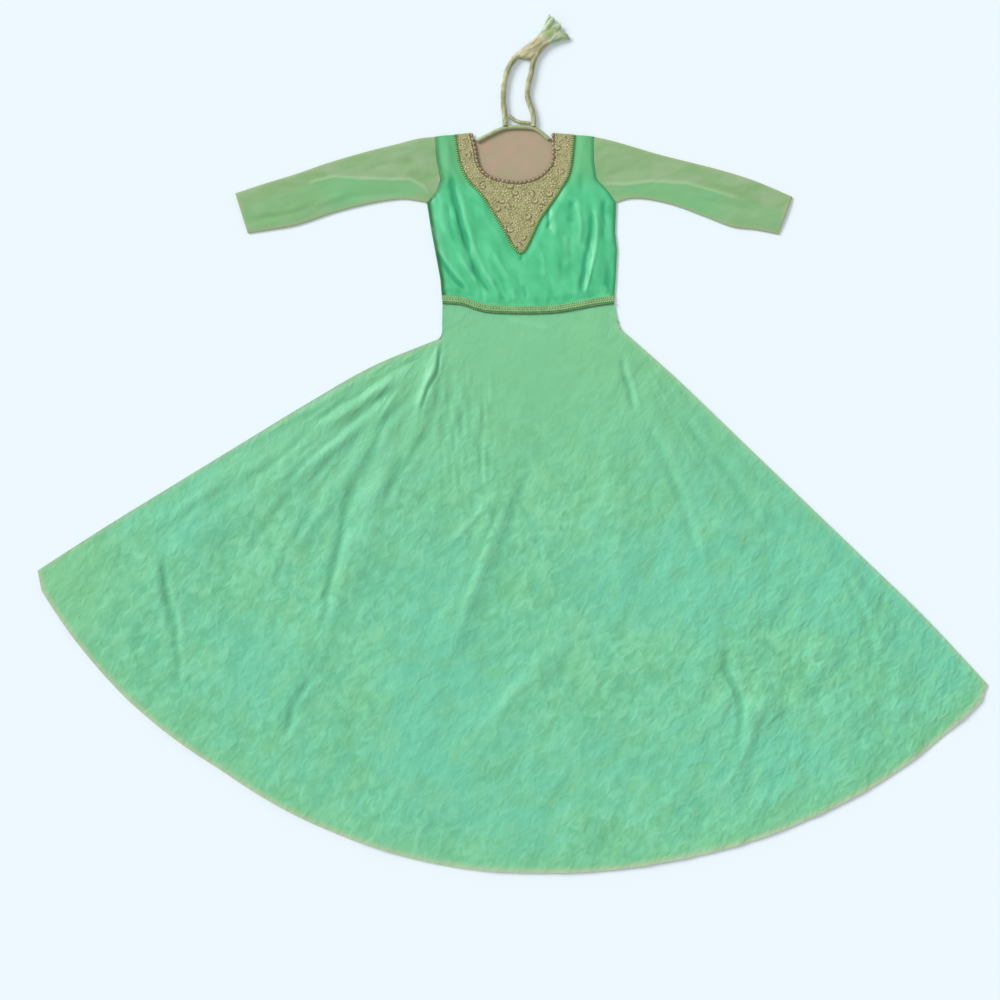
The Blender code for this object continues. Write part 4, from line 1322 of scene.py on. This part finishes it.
def makeSleeve(side):
    print(f"sleeve {side}")
    armhole = straightCurve((bodiceLeft if side == "left" else bodiceRight)[:armholeRows])
    top, bottom = armhole(np.zeros(1))[0], armhole(np.ones(1))[0]
    rows = [(top, bottom, sleeveLook["armholeHeight"], 1.0), *sleeveLines[side]]
    piece, around, down = clothTube(f"sleeveNet_{side}", sleeveLook["grid"], sleeveNet())
    reach = 0.5 - 0.5 * np.cos(around)
    upper = smoothCurve([row[0] for row in rows])(down)
    lower = smoothCurve([row[1] for row in rows])(down)
    height, bowShare = smoothCurve([row[2:] for row in rows])(down).T
    line = armhole(np.linspace(0.0, 1.0, 60))
    bow = np.interp(reach, (top[1] - line[:, 1]) / (top[1] - bottom[1]),
                    line[:, 0] - top[0] - (bottom[0] - top[0]) * (top[1] - line[:, 1]) / (top[1] - bottom[1]))
    places = upper + (lower - upper) * reach[:, None]
    x, y = places[:, 0] + bow * bowShare, places[:, 1]
    front = around < math.pi
    dome = abs(np.sin(around)) ** 0.55
    z = np.where(front, height * (0.42 + 0.58 * dome), height * 0.42 * (1 - dome ** 0.5))
    line = rolledEdges[side]
    off, share = alongChain(line if side == "right" else line[::-1], x, y)
    off = off if side == "right" else -off
    rolled = np.exp(-(off / 0.0030) ** 2) * smoothStep(share / 0.08) * smoothStep((1 - share) / 0.08)
    creases = sum(creaseHeight(x, y, crease) for crease in sleeveCreases[side])
    soft = 0.0005 * softNoise(x, y, 0.020, 8, math.radians(10.0), 2.4)
    z = z + np.where(front, dome * (sleeveLook["roll"] * rolled + creases + soft), 0.0)
    setPoints(piece.data, np.column_stack([x, y, np.maximum(z, 0.0)]))
    ends = smoothStep((share - 0.02) / 0.2) * smoothStep((1.0 - share) / 0.2)
    double = smoothStep(0.5 + off / 0.004) * (0.45 + 0.55 * ends)
    mottle = 0.55 + 0.6 * softNoise(x, y, 0.030, 9, math.radians(20.0), 1.8)
    setAttribute(piece.data, "double", np.clip(double * (0.7 + 0.3 * mottle), 0.0, 1.0))
    setAttribute(piece.data, "roll", np.clip(rolled, 0.0, 1.0) * front)
    border = np.maximum(smoothStep((reach - 0.90) / 0.08), smoothStep((0.07 - reach) / 0.06))
    setAttribute(piece.data, "border", np.maximum(border, smoothStep((down - 0.965) / 0.03)))
    closeTube(piece, clothWall["sleeve"])
    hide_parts(f"sleeve_{side}")
    sheetArea(piece)


def sleeveNet():
    shader = Shader("sleeveNet")
    soft = shader.noise(shader.place(0.25, (0.45, 1.0, 1.0)), 38.0, 3.0, 0.5, 0.4)
    return shader.finish({
        "Base Color": shader.tint(shader.ramp(soft, sleeveLook["shades"]), sleeveLook["tints"]),
        "Roughness": 0.72, "Specular IOR Level": 0.25,
        "Normal": shader.bump(shader.threads() * 0.5 + soft * 2.0, 0.4, 0.0012)})


makeStage()
makeTies()
makeSkirt()
bodiceFront, backYoke = makeBodice()
makeYoke(bodiceFront)
makeTrims()
makeSleeve("left")
makeSleeve("right")
